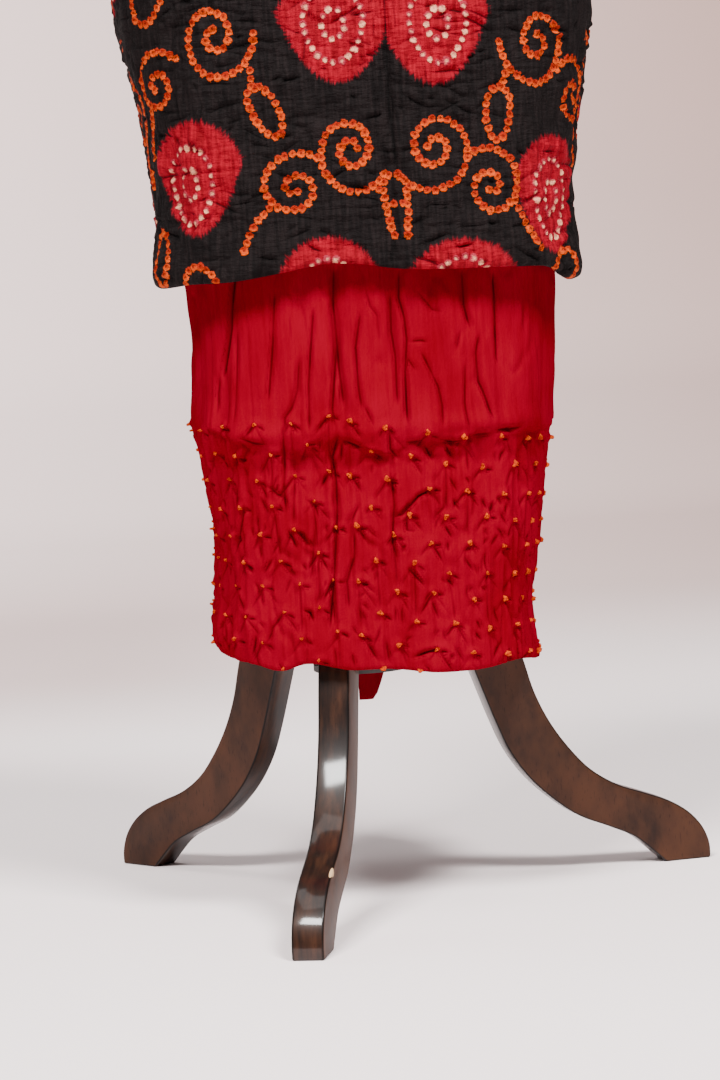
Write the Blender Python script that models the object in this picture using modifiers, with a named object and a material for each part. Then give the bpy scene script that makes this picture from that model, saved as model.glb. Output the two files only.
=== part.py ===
"""Bandhani cloth on a dress form stand: a black length wrapped over a red one, on a hip form with legs."""

import math
from collections import namedtuple

import bmesh
import bpy
import numpy as np

# Sizes in metres, with the pole's axis at x = 0, y = 0 until the whole is set over its footprint

# Stand: three curved legs round a turned column
LEG_THICKNESS = 0.0226
LEG_EDGE = 0.0015
LEG_DIRECTIONS = {"front": -100.6, "right": 14.5, "left": 136.8}
LEG_OUTER_STEPS = 30
LEG_INNER_STEPS = 26
LEG_ROOT_STEP = 0.001
COLUMN_RADIUS = 0.026
COLUMN_FLAT = 0.0225
FLAT_DEPTH = 0.0275
FLAT_HALF_WIDTH = 0.040
FLAT_BOTTOM = 0.222
FLAT_TOP = 0.286
COLUMN_BOTTOM = 0.1715
COLUMN_TOP = 0.300
PLATE_RADIUS = 0.037
PLATE_BOTTOM = 0.1665
PLATE_TOP = 0.1712
POLE_RADIUS = 0.011
POLE_TOP = 0.790
COLLAR_BOTTOM = 0.312
GAP = 0.0003

# Hip form and its cap
FORM_BOTTOM = 0.348
FORM_TOP = 0.868
CAP_TOP = 0.884
CAP_MARGIN = 0.006
CAP_EDGE = 0.003
FORM_SIDES = 40
ROUND_SIDES = 32
BORE_RUN_OUT = 0.020

# Both lengths of cloth
CLOTH_THICKNESS = 0.0022
FOLD_RADIUS = 0.0027
FOLD_STEPS = 4
TURNED_ROWS = 2
LAST_ROW = 0.6
HEM_LEVEL = 0.020
CREASE_FADE = 0.030
CREASE_LIP = 0.25
CREASE_LIP_SPREAD = 0.15
LAP_STANDOFF = 0.0092
LAP_RAMP = 0.090
RING_SAMPLES = 1440
FACING_REACH = 0.0015
FRONT_REACH = 0.150
FRONT_COLUMNS = 38
SIDE_COLUMNS = 10
LAP_COLUMNS = 5
EDGE_ZONE = 0.036

# How far the whole is shifted, so that the middle of its footprint is the origin
AXIS_X = -0.0292
AXIS_Y = 0.0364

Section = namedtuple("Section", "z left right front back front_n back_n")
Crease = namedtuple("Crease", "top_s low_s top_z low_z depth width")
Hem = namedtuple("Hem", "s z")
Bulge = namedtuple("Bulge", "s z out reach_s reach_z")
Turn = namedtuple("Turn", "radius height")
Point = namedtuple("Point", "r z")
Cloth = namedtuple("Cloth", "sections creases bulges hems top rows turned lap_right lap_left")
Finish = namedtuple("Finish", "name colour roughness metallic")

FINISHES = {
    "upper_cloth": Finish("black bandhani", (0.014, 0.010, 0.011), 0.8, 0.0),
    "lower_cloth": Finish("red bandhani", (0.55, 0.004, 0.012), 0.8, 0.0),
    "leg_front": Finish("stained wood of the front leg", (0.045, 0.022, 0.015), 0.25, 0.0),
    "leg_left": Finish("stained wood of the left leg", (0.045, 0.022, 0.015), 0.25, 0.0),
    "leg_right": Finish("stained wood of the right leg", (0.045, 0.022, 0.015), 0.25, 0.0),
    "column": Finish("stained wood of the column", (0.045, 0.022, 0.015), 0.25, 0.0),
    "base_plate": Finish("plate metal", (0.45, 0.44, 0.43), 0.4, 1.0),
    "pole": Finish("pole metal", (0.50, 0.50, 0.50), 0.3, 1.0),
    "collar": Finish("collar metal", (0.30, 0.30, 0.30), 0.4, 1.0),
    "hip_form": Finish("form cover", (0.60, 0.55, 0.47), 0.9, 0.0),
    "waist_cap": Finish("cap wood", (0.050, 0.026, 0.018), 0.3, 0.0),
}

FORM_SECTIONS = [
    Section(0.348, 0.105, 0.138, 0.112, 0.100, 3.2, 2.5),
    Section(0.362, 0.108, 0.142, 0.115, 0.103, 3.2, 2.5),
    Section(0.460, 0.1092, 0.1507, 0.1132, 0.1067, 3.2, 2.5),
    Section(0.520, 0.1222, 0.1582, 0.1172, 0.1112, 3.1, 2.45),
    Section(0.540, 0.1255, 0.1615, 0.1175, 0.1125, 3.0, 2.4),
    Section(0.610, 0.141, 0.180, 0.122, 0.121, 3.0, 2.4),
    Section(0.690, 0.154, 0.190, 0.125, 0.128, 2.8, 2.4),
    Section(0.760, 0.142, 0.175, 0.115, 0.116, 2.6, 2.3),
    Section(0.820, 0.120, 0.148, 0.101, 0.096, 2.4, 2.2),
    Section(0.858, 0.112, 0.137, 0.095, 0.087, 2.3, 2.2),
    Section(0.868, 0.107, 0.132, 0.090, 0.082, 2.3, 2.2),
]

LOWER_SECTIONS = [
    Section(0.165, 0.1030, 0.1300, 0.130, 0.136, 3.6, 3.4),
    Section(0.190, 0.1050, 0.1290, 0.129, 0.135, 3.6, 3.4),
    Section(0.206, 0.1090, 0.1270, 0.128, 0.134, 3.6, 3.4),
    Section(0.232, 0.1055, 0.1290, 0.126, 0.131, 3.5, 3.3),
    Section(0.255, 0.1045, 0.1330, 0.125, 0.128, 3.5, 3.2),
    Section(0.290, 0.1055, 0.1380, 0.123, 0.123, 3.5, 3.0),
    Section(0.324, 0.1105, 0.1440, 0.121, 0.115, 3.4, 2.8),
    Section(0.338, 0.1130, 0.1465, 0.123, 0.112, 3.4, 2.7),
    Section(0.352, 0.1155, 0.1485, 0.126, 0.111, 3.4, 2.6),
    Section(0.380, 0.1140, 0.1520, 0.124, 0.110, 3.4, 2.6),
    Section(0.415, 0.1125, 0.1545, 0.122, 0.110, 3.4, 2.6),
    Section(0.455, 0.1145, 0.1565, 0.121, 0.111, 3.4, 2.6),
    Section(0.530, 0.1265, 0.1615, 0.121, 0.114, 3.2, 2.5),
]

UPPER_SECTIONS = [
    Section(0.440, 0.1350, 0.1725, 0.138, 0.134, 3.9, 2.6),
    Section(0.470, 0.1365, 0.1740, 0.138, 0.134, 3.9, 2.6),
    Section(0.498, 0.1345, 0.1715, 0.136, 0.133, 3.8, 2.6),
    Section(0.557, 0.1377, 0.1775, 0.134, 0.131, 3.7, 2.6),
    Section(0.613, 0.1483, 0.1880, 0.134, 0.132, 3.5, 2.5),
    Section(0.668, 0.1580, 0.1945, 0.133, 0.134, 3.3, 2.5),
    Section(0.700, 0.1595, 0.1955, 0.131, 0.134, 3.1, 2.5),
    Section(0.760, 0.1470, 0.1800, 0.122, 0.122, 2.8, 2.4),
    Section(0.820, 0.1250, 0.1530, 0.108, 0.102, 2.5, 2.3),
    Section(0.856, 0.1165, 0.1415, 0.101, 0.093, 2.4, 2.2),
]

# Creases run down from the top: where they start and end along the cloth, how deep and how wide
LOWER_CREASES = [
    Crease(-0.215, -0.205, 0.46, 0.22, 0.0024, 0.014),
    Crease(-0.158, -0.166, 0.46, 0.22, 0.0026, 0.012),
    Crease(-0.122, -0.128, 0.46, 0.33, 0.0018, 0.008),
    Crease(-0.078, -0.100, 0.46, 0.34, 0.0040, 0.007),
    Crease(-0.048, -0.051, 0.46, 0.35, 0.0020, 0.006),
    Crease(-0.028, -0.041, 0.46, 0.34, 0.0024, 0.006),
    Crease(-0.004, -0.007, 0.46, 0.33, 0.0044, 0.007),
    Crease(0.012, 0.009, 0.45, 0.36, 0.0014, 0.005),
    Crease(0.032, 0.038, 0.46, 0.34, 0.0024, 0.006),
    Crease(0.051, 0.049, 0.44, 0.35, 0.0016, 0.005),
    Crease(0.062, 0.070, 0.46, 0.34, 0.0028, 0.006),
    Crease(0.083, 0.093, 0.46, 0.34, 0.0028, 0.006),
    Crease(0.109, 0.111, 0.46, 0.34, 0.0020, 0.006),
    Crease(0.160, 0.150, 0.46, 0.22, 0.0026, 0.012),
    Crease(0.205, 0.214, 0.46, 0.24, 0.0022, 0.014),
    Crease(0.285, 0.265, 0.46, 0.20, 0.0030, 0.018),
    Crease(0.352, 0.345, 0.46, 0.20, 0.0026, 0.018),
    Crease(-0.280, -0.268, 0.46, 0.22, 0.0030, 0.018),
    Crease(-0.352, -0.348, 0.46, 0.22, 0.0026, 0.018),
]

UPPER_CREASES = [
    Crease(0.040, 0.037, 0.80, 0.455, 0.0036, 0.007),
    Crease(-0.108, -0.126, 0.70, 0.455, 0.0026, 0.012),
    Crease(-0.046, -0.054, 0.62, 0.455, 0.0014, 0.012),
    Crease(0.098, 0.092, 0.60, 0.455, 0.0014, 0.012),
    Crease(0.156, 0.168, 0.70, 0.455, 0.0028, 0.012),
    Crease(-0.205, -0.195, 0.80, 0.455, 0.0030, 0.016),
    Crease(0.245, 0.232, 0.80, 0.455, 0.0030, 0.016),
    Crease(-0.290, -0.275, 0.80, 0.455, 0.0032, 0.018),
    Crease(0.325, 0.305, 0.80, 0.455, 0.0032, 0.018),
    Crease(-0.372, -0.352, 0.80, 0.455, 0.0028, 0.018),
    Crease(0.405, 0.372, 0.80, 0.455, 0.0028, 0.018),
]

# Soft rolls and sacks: the red cloth's roll over the form's lower rim, and the drooping corners of each hem
LOWER_BULGES = [
    Bulge(-0.040, 0.349, 0.0024, 0.060, 0.007),
    Bulge(0.090, 0.351, 0.0024, 0.050, 0.007),
    Bulge(-0.060, 0.326, -0.0020, 0.060, 0.008),
    Bulge(0.080, 0.328, -0.0018, 0.060, 0.008),
    Bulge(-0.125, 0.203, 0.0020, 0.025, 0.012),
]

UPPER_BULGES = [
    Bulge(-0.142, 0.468, 0.0040, 0.024, 0.014),
    Bulge(0.182, 0.462, 0.0045, 0.022, 0.014),
    Bulge(0.052, 0.472, 0.0020, 0.012, 0.010),
]

LOWER_HEMS = [
    Hem(-0.430, 0.1720),
    Hem(-0.370, 0.1850),
    Hem(-0.315, 0.2030),
    Hem(-0.255, 0.2060),
    Hem(-0.200, 0.2030),
    Hem(-0.150, 0.1945),
    Hem(-0.110, 0.1895),
    Hem(-0.083, 0.1870),
    Hem(-0.056, 0.1825),
    Hem(-0.044, 0.1860),
    Hem(-0.007, 0.1805),
    Hem(0.018, 0.1800),
    Hem(0.054, 0.1755),
    Hem(0.090, 0.1755),
    Hem(0.121, 0.1785),
    Hem(0.150, 0.1760),
    Hem(0.205, 0.1695),
    Hem(0.300, 0.1705),
    Hem(0.430, 0.1700),
]

UPPER_HEMS = [
    Hem(-0.430, 0.4660),
    Hem(-0.250, 0.4650),
    Hem(-0.190, 0.4610),
    Hem(-0.152, 0.4568),
    Hem(-0.110, 0.4590),
    Hem(-0.077, 0.4595),
    Hem(-0.041, 0.4640),
    Hem(-0.012, 0.4680),
    Hem(0.006, 0.4680),
    Hem(0.038, 0.4630),
    Hem(0.125, 0.4595),
    Hem(0.152, 0.4580),
    Hem(0.180, 0.4480),
    Hem(0.202, 0.4490),
    Hem(0.245, 0.4600),
    Hem(0.430, 0.4660),
]

# The red cloth's free corner hangs below its hem at the back
TAIL_DROP = 0.046
TAIL_WIDTH = 0.022
TAIL_SHIFT = 1.45

LOWER_CLOTH = Cloth(LOWER_SECTIONS, LOWER_CREASES, LOWER_BULGES, LOWER_HEMS, 0.520, 22, 0.034, 0.018, 0.0275)
UPPER_CLOTH = Cloth(UPPER_SECTIONS, UPPER_CREASES, UPPER_BULGES, UPPER_HEMS, 0.856, 14, 0.028, 0.020, 0.030)

# One leg seen from its side, as distance from the pole's axis and height: the outer edge, then the inner edge
LEG_OUTER = [
    Point(0.2620, 0.000),
    Point(0.2622, 0.008),
    Point(0.2580, 0.022),
    Point(0.2490, 0.034),
    Point(0.2340, 0.045),
    Point(0.2130, 0.054),
    Point(0.1900, 0.063),
    Point(0.1695, 0.0765),
    Point(0.1533, 0.0945),
    Point(0.1392, 0.1155),
    Point(0.1288, 0.138),
    Point(0.1215, 0.163),
    Point(0.1135, 0.188),
    Point(0.1040, 0.213),
    Point(0.0910, 0.238),
    Point(0.0735, 0.258),
    Point(0.0530, 0.271),
    Point(0.0360, 0.277),
]
LEG_INNER = [
    Point(0.0360, 0.229),
    Point(0.0490, 0.224),
    Point(0.0620, 0.211),
    Point(0.0720, 0.191),
    Point(0.0795, 0.168),
    Point(0.0882, 0.143),
    Point(0.0973, 0.118),
    Point(0.1070, 0.0955),
    Point(0.1215, 0.074),
    Point(0.1390, 0.0565),
    Point(0.1597, 0.0413),
    Point(0.1830, 0.0310),
    Point(0.2038, 0.0206),
    Point(0.2155, 0.0105),
    Point(0.2265, 0.000),
]

COLUMN_PROFILE = [
    Turn(0.0300, COLUMN_BOTTOM),
    Turn(0.0300, 0.1790),
    Turn(0.0280, 0.1840),
    Turn(COLUMN_RADIUS, 0.1900),
    Turn(COLUMN_RADIUS, 0.2850),
    Turn(0.0230, 0.2950),
    Turn(0.0180, COLUMN_TOP),
]
COLLAR_PROFILE = [
    Turn(0.0160, COLLAR_BOTTOM),
    Turn(0.0180, 0.3140),
    Turn(0.0180, 0.3340),
    Turn(0.0480, 0.3400),
    Turn(0.0500, 0.3420),
    Turn(0.0500, FORM_BOTTOM - GAP),
]
PLATE_PROFILE = [Turn(PLATE_RADIUS, PLATE_BOTTOM), Turn(PLATE_RADIUS, PLATE_TOP)]
POLE_PROFILE = [Turn(POLE_RADIUS, PLATE_TOP + GAP), Turn(POLE_RADIUS, POLE_TOP)]


# Scene, collections and materials

def cleared_scene():
    for old in list(bpy.data.objects):
        bpy.data.objects.remove(old, do_unlink=True)


def new_collection(name):
    made = bpy.data.collections.new(name)
    bpy.context.scene.collection.children.link(made)
    return made


def principled(finish):
    made = bpy.data.materials.new(finish.name)
    made.use_nodes = True
    shader = made.node_tree.nodes["Principled BSDF"]
    shader.inputs["Base Color"].default_value = (*finish.colour, 1.0)
    shader.inputs["Roughness"].default_value = finish.roughness
    shader.inputs["Metallic"].default_value = finish.metallic
    made.diffuse_color = (*finish.colour, 1.0)
    return made


def placed(name, data, collection):
    made = bpy.data.objects.new(name, data)
    made.location = (AXIS_X, AXIS_Y, 0.0)
    data.materials.append(principled(FINISHES[name]))
    collection.objects.link(made)
    return made


def mesh_from(name, points, faces):
    mesh = bpy.data.meshes.new(name)
    mesh.from_pydata([tuple(point) for point in points], [], faces)
    shape = bmesh.new()
    shape.from_mesh(mesh)
    bmesh.ops.recalc_face_normals(shape, faces=shape.faces)
    shape.to_mesh(mesh)
    shape.free()
    return mesh


# Curves through the rows of a table

def through(places, values, at):
    """A smooth curve through a table's rows, flat beyond its ends."""
    places = np.asarray(places, float)
    values = np.asarray(values, float)
    slopes = np.gradient(values, places)
    slopes[0] = 0.0
    slopes[-1] = 0.0
    at = np.clip(np.asarray(at, float), places[0], places[-1])
    row = np.clip(np.searchsorted(places, at) - 1, 0, len(places) - 2)
    span = places[row + 1] - places[row]
    part = (at - places[row]) / span
    rise = part * part * (3.0 - 2.0 * part)
    start = part * (1.0 - part) ** 2 * span * slopes[row]
    end = part * part * (part - 1.0) * span * slopes[row + 1]
    return values[row] * (1.0 - rise) + values[row + 1] * rise + start + end


def section_at(sections, z):
    heights = [row.z for row in sections]
    sizes = [float(through(heights, [row[k] for row in sections], z)) for k in range(1, 7)]
    return Section(z, *sizes)


def smooth_step(value):
    part = np.clip(value, 0.0, 1.0)
    return part * part * (3.0 - 2.0 * part)


def ring(section, parts):
    """Points and outward directions round a section, at these parts of its length from the front's middle."""
    turn = np.linspace(-1.5 * math.pi, 0.5 * math.pi, RING_SAMPLES + 1)
    across = np.cos(turn)
    along = np.sin(turn)
    power = 2.0 / np.where(along < 0.0, section.front_n, section.back_n)
    side = np.where(across < 0.0, section.left, section.right)
    deep = np.where(along < 0.0, section.front, section.back)
    x = side * np.sign(across) * np.abs(across) ** power
    y = deep * np.sign(along) * np.abs(along) ** power
    length = np.concatenate([[0.0], np.cumsum(np.hypot(np.diff(x), np.diff(y)))])
    front = np.interp(-0.5 * math.pi, turn, length)
    where = np.mod(front + np.asarray(parts) * length[-1], length[-1])
    ahead = np.mod(where + FACING_REACH, length[-1])
    behind = np.mod(where - FACING_REACH, length[-1])
    points = np.stack([np.interp(where, length, x), np.interp(where, length, y)], 1)
    way = np.stack(
        [
            np.interp(ahead, length, x) - np.interp(behind, length, x),
            np.interp(ahead, length, y) - np.interp(behind, length, y),
        ],
        1,
    )
    way /= np.linalg.norm(way, axis=1, keepdims=True)
    return points, np.stack([way[:, 1], -way[:, 0]], 1), length[-1]


# The two lengths of cloth

def hem_length(cloth):
    """The way round the cloth a little above its hem."""
    return ring(section_at(cloth.sections, cloth.hems[0].z + HEM_LEVEL), [0.0])[2]


def column_parts(length, cloth):
    """Where the columns stand, as parts of the way round: close together in front, and at the free edges."""
    front = np.linspace(-FRONT_REACH, FRONT_REACH, FRONT_COLUMNS + 1)
    half = 0.5 * length
    end = half + cloth.lap_left
    start = -half - cloth.lap_right
    right = np.linspace(FRONT_REACH, end - EDGE_ZONE, SIDE_COLUMNS + 1)[1:]
    left = np.linspace(start + EDGE_ZONE, -FRONT_REACH, SIDE_COLUMNS + 1)[:-1]
    last = np.linspace(end - EDGE_ZONE, end, LAP_COLUMNS + 1)[1:]
    first = np.linspace(start, start + EDGE_ZONE, LAP_COLUMNS + 1)[:-1]
    return np.concatenate([first, left, front, right, last]) / length


def relief(cloth, s, z):
    """How far the cloth stands out of its smooth section, from its creases and bulges."""
    out = np.zeros_like(s)
    for crease in cloth.creases:
        down = np.clip((crease.top_z - z) / (crease.top_z - crease.low_z), 0.0, 1.0)
        middle = crease.top_s + (crease.low_s - crease.top_s) * down
        fade = smooth_step((crease.top_z - z) / CREASE_FADE + 1.0)
        fade *= smooth_step((z - crease.low_z) / CREASE_FADE + 1.0)
        near = (s - middle) / crease.width
        lip = CREASE_LIP * np.exp(-CREASE_LIP_SPREAD * near * near)
        out -= crease.depth * fade * (np.exp(-near * near) - lip)
    for bulge in cloth.bulges:
        near = ((s - bulge.s) / bulge.reach_s) ** 2 + ((z - bulge.z) / bulge.reach_z) ** 2
        out += bulge.out * np.exp(-near)
    return out


def cloth_rows(cloth, parts, tail_drop):
    """Rows of points from the top edge down to the hem, round its fold and up behind it."""
    length = hem_length(cloth)
    s_hem = parts * length
    hem = through([row.s for row in cloth.hems], [row.z for row in cloth.hems], s_hem)
    to_end = (parts[-1] - parts) * length
    hem = hem - tail_drop * smooth_step(TAIL_SHIFT - to_end / TAIL_WIDTH)
    lap = LAP_STANDOFF * smooth_step((s_hem - 0.5 * length + LAP_RAMP) / (LAP_RAMP - cloth.lap_right))
    straight = [(cloth.top + (hem - cloth.top) * k / cloth.rows, 0.0 * hem) for k in range(cloth.rows)]
    straight[-1] = ((1.0 - LAST_ROW) * straight[-2][0] + LAST_ROW * hem, 0.0 * hem)
    fold = []
    for k in range(FOLD_STEPS + 1):
        angle = math.pi * k / FOLD_STEPS
        drop = FOLD_RADIUS * (1.0 - math.sin(angle))
        fold.append((hem + drop, 0.0 * hem + FOLD_RADIUS * (1.0 - math.cos(angle))))
    behind = []
    for k in range(1, TURNED_ROWS + 1):
        behind.append((hem + cloth.turned * k / TURNED_ROWS, 0.0 * hem + 2.0 * FOLD_RADIUS))
    rows = []
    for heights, inset in straight + fold + behind:
        row = np.empty((len(parts), 3))
        for i, z in enumerate(heights):
            section = section_at(cloth.sections, z)
            point, outward, around = ring(section, parts[i : i + 1])
            level = np.array([max(z, hem[i])])
            out = relief(cloth, parts[i : i + 1] * around, level) - inset[i] + lap[i]
            row[i, :2] = point[0] + outward[0] * (out[0] - 0.5 * CLOTH_THICKNESS)
            row[i, 2] = z
        rows.append(row)
    return np.array(rows)


def cloth_object(name, cloth, collection, tail_drop=0.0):
    parts = column_parts(hem_length(cloth), cloth)
    rows = cloth_rows(cloth, parts, tail_drop)
    count, wide = rows.shape[:2]
    faces = []
    for k in range(count - 1):
        for i in range(wide - 1):
            low = k * wide + i
            faces.append((low, low + wide, low + wide + 1, low + 1))
    made = placed(name, mesh_from(name, rows.reshape(-1, 3), faces), collection)
    solid = made.modifiers.new("thickness", "SOLIDIFY")
    solid.thickness = CLOTH_THICKNESS
    solid.offset = 0.0
    solid.use_even_offset = False
    return made


# The hard pieces

def smooth_outline(points, steps):
    """More points along a table's curve, by arc length through its rows."""
    r = np.array([point.r for point in points])
    z = np.array([point.z for point in points])
    length = np.concatenate([[0.0], np.cumsum(np.hypot(np.diff(r), np.diff(z)))])
    at = np.linspace(0.0, length[-1], steps)
    slopes_r = np.gradient(r, length)
    slopes_z = np.gradient(z, length)
    row = np.clip(np.searchsorted(length, at) - 1, 0, len(length) - 2)
    span = length[row + 1] - length[row]
    part = (at - length[row]) / span
    rise = part * part * (3.0 - 2.0 * part)
    start = part * (1.0 - part) ** 2 * span
    end = part * part * (part - 1.0) * span
    smooth_r = r[row] * (1 - rise) + r[row + 1] * rise + start * slopes_r[row] + end * slopes_r[row + 1]
    smooth_z = z[row] * (1 - rise) + z[row + 1] * rise + start * slopes_z[row] + end * slopes_z[row + 1]
    return list(zip(smooth_r, smooth_z))


def leg_object(name, direction, collection):
    """The leg's outline, cut from a board and eased at its edges, and stood round the column."""
    outer = smooth_outline(LEG_OUTER, LEG_OUTER_STEPS)
    inner = smooth_outline(LEG_INNER, LEG_INNER_STEPS)
    flat = COLUMN_FLAT + GAP
    root = [(flat, outer[-1][1] + LEG_ROOT_STEP), (flat, inner[0][1] - LEG_ROOT_STEP)]
    outline = outer + root + inner
    front = [(r, -0.5 * LEG_THICKNESS, max(z, 0.0)) for r, z in outline]
    rear = [(r, 0.5 * LEG_THICKNESS, z) for r, _, z in front]
    count = len(outline)
    faces = [tuple(range(count)), tuple(reversed(range(count, 2 * count)))]
    faces += [(i, (i + 1) % count, count + (i + 1) % count, count + i) for i in range(count)]
    made = placed(name, mesh_from(name, front + rear, faces), collection)
    made.rotation_euler.z = math.radians(direction)
    eased = made.modifiers.new("eased edges", "BEVEL")
    eased.width = LEG_EDGE
    eased.segments = 1
    eased.limit_method = "ANGLE"
    eased.angle_limit = math.radians(60)
    return made


def turned_object(name, profile, bore, collection):
    """A piece turned on a lathe, as a profile spun round the axis. It has a bore right through, or none."""
    points = [(turn.radius, 0.0, turn.height) for turn in profile]
    points = [(bore, 0.0, profile[0].height)] + points + [(bore, 0.0, profile[-1].height)]
    mesh = bpy.data.meshes.new(name)
    edges = [(k, k + 1) for k in range(len(points) - 1)]
    if bore:
        edges.append((len(points) - 1, 0))
    mesh.from_pydata(points, edges, [])
    made = placed(name, mesh, collection)
    spun = made.modifiers.new("turned", "SCREW")
    spun.angle = 2.0 * math.pi
    spun.steps = ROUND_SIDES
    spun.render_steps = ROUND_SIDES
    spun.use_merge_vertices = True
    spun.merge_threshold = 0.00005
    spun.use_normal_flip = True
    return made


def cutter_box(name, low, high, turn, collection):
    mesh = bpy.data.meshes.new(name)
    shape = bmesh.new()
    bmesh.ops.create_cube(shape, size=1.0)
    for vertex in shape.verts:
        for k in range(3):
            vertex.co[k] = low[k] + (vertex.co[k] + 0.5) * (high[k] - low[k])
    shape.to_mesh(mesh)
    shape.free()
    made = bpy.data.objects.new(name, mesh)
    made.location = (AXIS_X, AXIS_Y, 0.0)
    made.rotation_euler.z = math.radians(turn)
    made.hide_render = True
    made.display_type = "WIRE"
    collection.objects.link(made)
    return made


def cutter_rod(name, radius, low, high, collection):
    mesh = bpy.data.meshes.new(name)
    shape = bmesh.new()
    bmesh.ops.create_cone(
        shape, cap_ends=True, segments=ROUND_SIDES, radius1=radius, radius2=radius, depth=high - low
    )
    bmesh.ops.translate(shape, verts=shape.verts, vec=(0.0, 0.0, 0.5 * (low + high)))
    shape.to_mesh(mesh)
    shape.free()
    made = bpy.data.objects.new(name, mesh)
    made.location = (AXIS_X, AXIS_Y, 0.0)
    made.hide_render = True
    made.display_type = "WIRE"
    collection.objects.link(made)
    return made


def cut(target, cutter):
    step = target.modifiers.new(cutter.name, "BOOLEAN")
    step.operation = "DIFFERENCE"
    step.solver = "EXACT"
    step.object = cutter


def lofted_object(name, sections, collection):
    """A solid through the sections, closed with a flat face at its top and its bottom."""
    parts = np.arange(FORM_SIDES) / FORM_SIDES - 0.5
    points = []
    for section in sections:
        flat, _, _ = ring(section, parts)
        points += [(x, y, section.z) for x, y in flat]
    top = (len(sections) - 1) * FORM_SIDES
    faces = [tuple(range(FORM_SIDES)), tuple(range(top, top + FORM_SIDES))]
    for k in range(len(sections) - 1):
        for i in range(FORM_SIDES):
            low = k * FORM_SIDES + i
            next_low = k * FORM_SIDES + (i + 1) % FORM_SIDES
            faces.append((low, next_low, next_low + FORM_SIDES, low + FORM_SIDES))
    return placed(name, mesh_from(name, points, faces), collection)


def inset_section(section, z, inset):
    left, right, front, back = (size - inset for size in section[1:5])
    return Section(z, left, right, front, back, section.front_n, section.back_n)


def cap_sections():
    """The cap follows the form's top section, a little inside it, with eased edges."""
    top = FORM_SECTIONS[-1]
    low = FORM_TOP + GAP
    return [
        inset_section(top, low, CAP_MARGIN + CAP_EDGE),
        inset_section(top, low + CAP_EDGE, CAP_MARGIN),
        inset_section(top, CAP_TOP - CAP_EDGE, CAP_MARGIN),
        inset_section(top, CAP_TOP, CAP_MARGIN + CAP_EDGE),
    ]


def build():
    cleared_scene()
    shown = new_collection("bandhani cloth on dress form stand")
    cutters = new_collection("cutters")
    cutters.hide_render = True

    column = turned_object("column", COLUMN_PROFILE, POLE_RADIUS + GAP, shown)
    low = (COLUMN_FLAT, -FLAT_HALF_WIDTH, FLAT_BOTTOM)
    high = (COLUMN_FLAT + FLAT_DEPTH, FLAT_HALF_WIDTH, FLAT_TOP)
    for side, direction in LEG_DIRECTIONS.items():
        leg_object("leg_" + side, direction, shown)
        cut(column, cutter_box("flat_" + side, low, high, direction, cutters))

    turned_object("base_plate", PLATE_PROFILE, 0.0, shown)
    turned_object("pole", POLE_PROFILE, 0.0, shown)
    turned_object("collar", COLLAR_PROFILE, POLE_RADIUS + GAP, shown)

    form = lofted_object("hip_form", FORM_SECTIONS, shown)
    bore = cutter_rod("pole_bore", POLE_RADIUS + GAP, FORM_BOTTOM - BORE_RUN_OUT, POLE_TOP + GAP, cutters)
    cut(form, bore)
    lofted_object("waist_cap", cap_sections(), shown)

    cloth_object("lower_cloth", LOWER_CLOTH, shown, TAIL_DROP)
    cloth_object("upper_cloth", UPPER_CLOTH, shown)


build()
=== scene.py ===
import math
from collections import namedtuple

import bmesh
import bpy
import numpy as np
from mathutils import Matrix, Vector, kdtree


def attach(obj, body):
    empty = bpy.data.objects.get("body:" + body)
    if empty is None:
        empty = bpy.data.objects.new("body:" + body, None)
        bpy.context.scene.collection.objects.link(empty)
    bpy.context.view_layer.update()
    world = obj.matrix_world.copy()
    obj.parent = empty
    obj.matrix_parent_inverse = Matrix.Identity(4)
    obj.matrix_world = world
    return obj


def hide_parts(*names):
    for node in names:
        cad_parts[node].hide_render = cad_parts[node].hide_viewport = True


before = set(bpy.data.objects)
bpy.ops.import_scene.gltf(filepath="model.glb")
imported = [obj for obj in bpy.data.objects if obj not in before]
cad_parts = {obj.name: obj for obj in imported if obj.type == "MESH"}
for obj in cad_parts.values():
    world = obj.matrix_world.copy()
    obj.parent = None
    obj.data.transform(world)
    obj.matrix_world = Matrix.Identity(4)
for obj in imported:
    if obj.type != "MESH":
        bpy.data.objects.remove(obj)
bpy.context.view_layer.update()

# Sizes in metres. The pole's axis stands at AXIS_X, AXIS_Y.
AXIS_X = -0.0292
AXIS_Y = 0.0364
MM = 0.001

Section = namedtuple("Section", "z left right front back front_n back_n")
Crease = namedtuple("Crease", "top_s low_s top_z low_z depth width")
Hem = namedtuple("Hem", "s z")
Bulge = namedtuple("Bulge", "s z out reach_s reach_z")
Point = namedtuple("Point", "r z")
Fold = namedtuple("Fold", "depth width places")
Lean = namedtuple("Lean", "s z along up")
Cloth = namedtuple("Cloth", "sections creases bulges hems folds top turned lap_right lap_left tail")
Grid = namedtuple("Grid", "front_left front_right fine coarse low_z high_z fine_rows coarse_rows")
Scroll = namedtuple("Scroll", "s z start turns outer inner power wide tall")
Stem = namedtuple("Stem", "s1 z1 s2 z2 bend")
Leaf = namedtuple("Leaf", "s z wide tall tilt")
Disc = namedtuple("Disc", "s z wide tall curl_s curl_z")
Net = namedtuple("Net", "hull z u v inset lap")
Ripple = namedtuple("Ripple", "depth tied along up seed")
Lamp = namedtuple("Lamp", "name place aim wide high power colour")


def rows_of(kind, rows):
    """A table's plain rows as named ones."""
    return [kind(*row) for row in rows]


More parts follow.
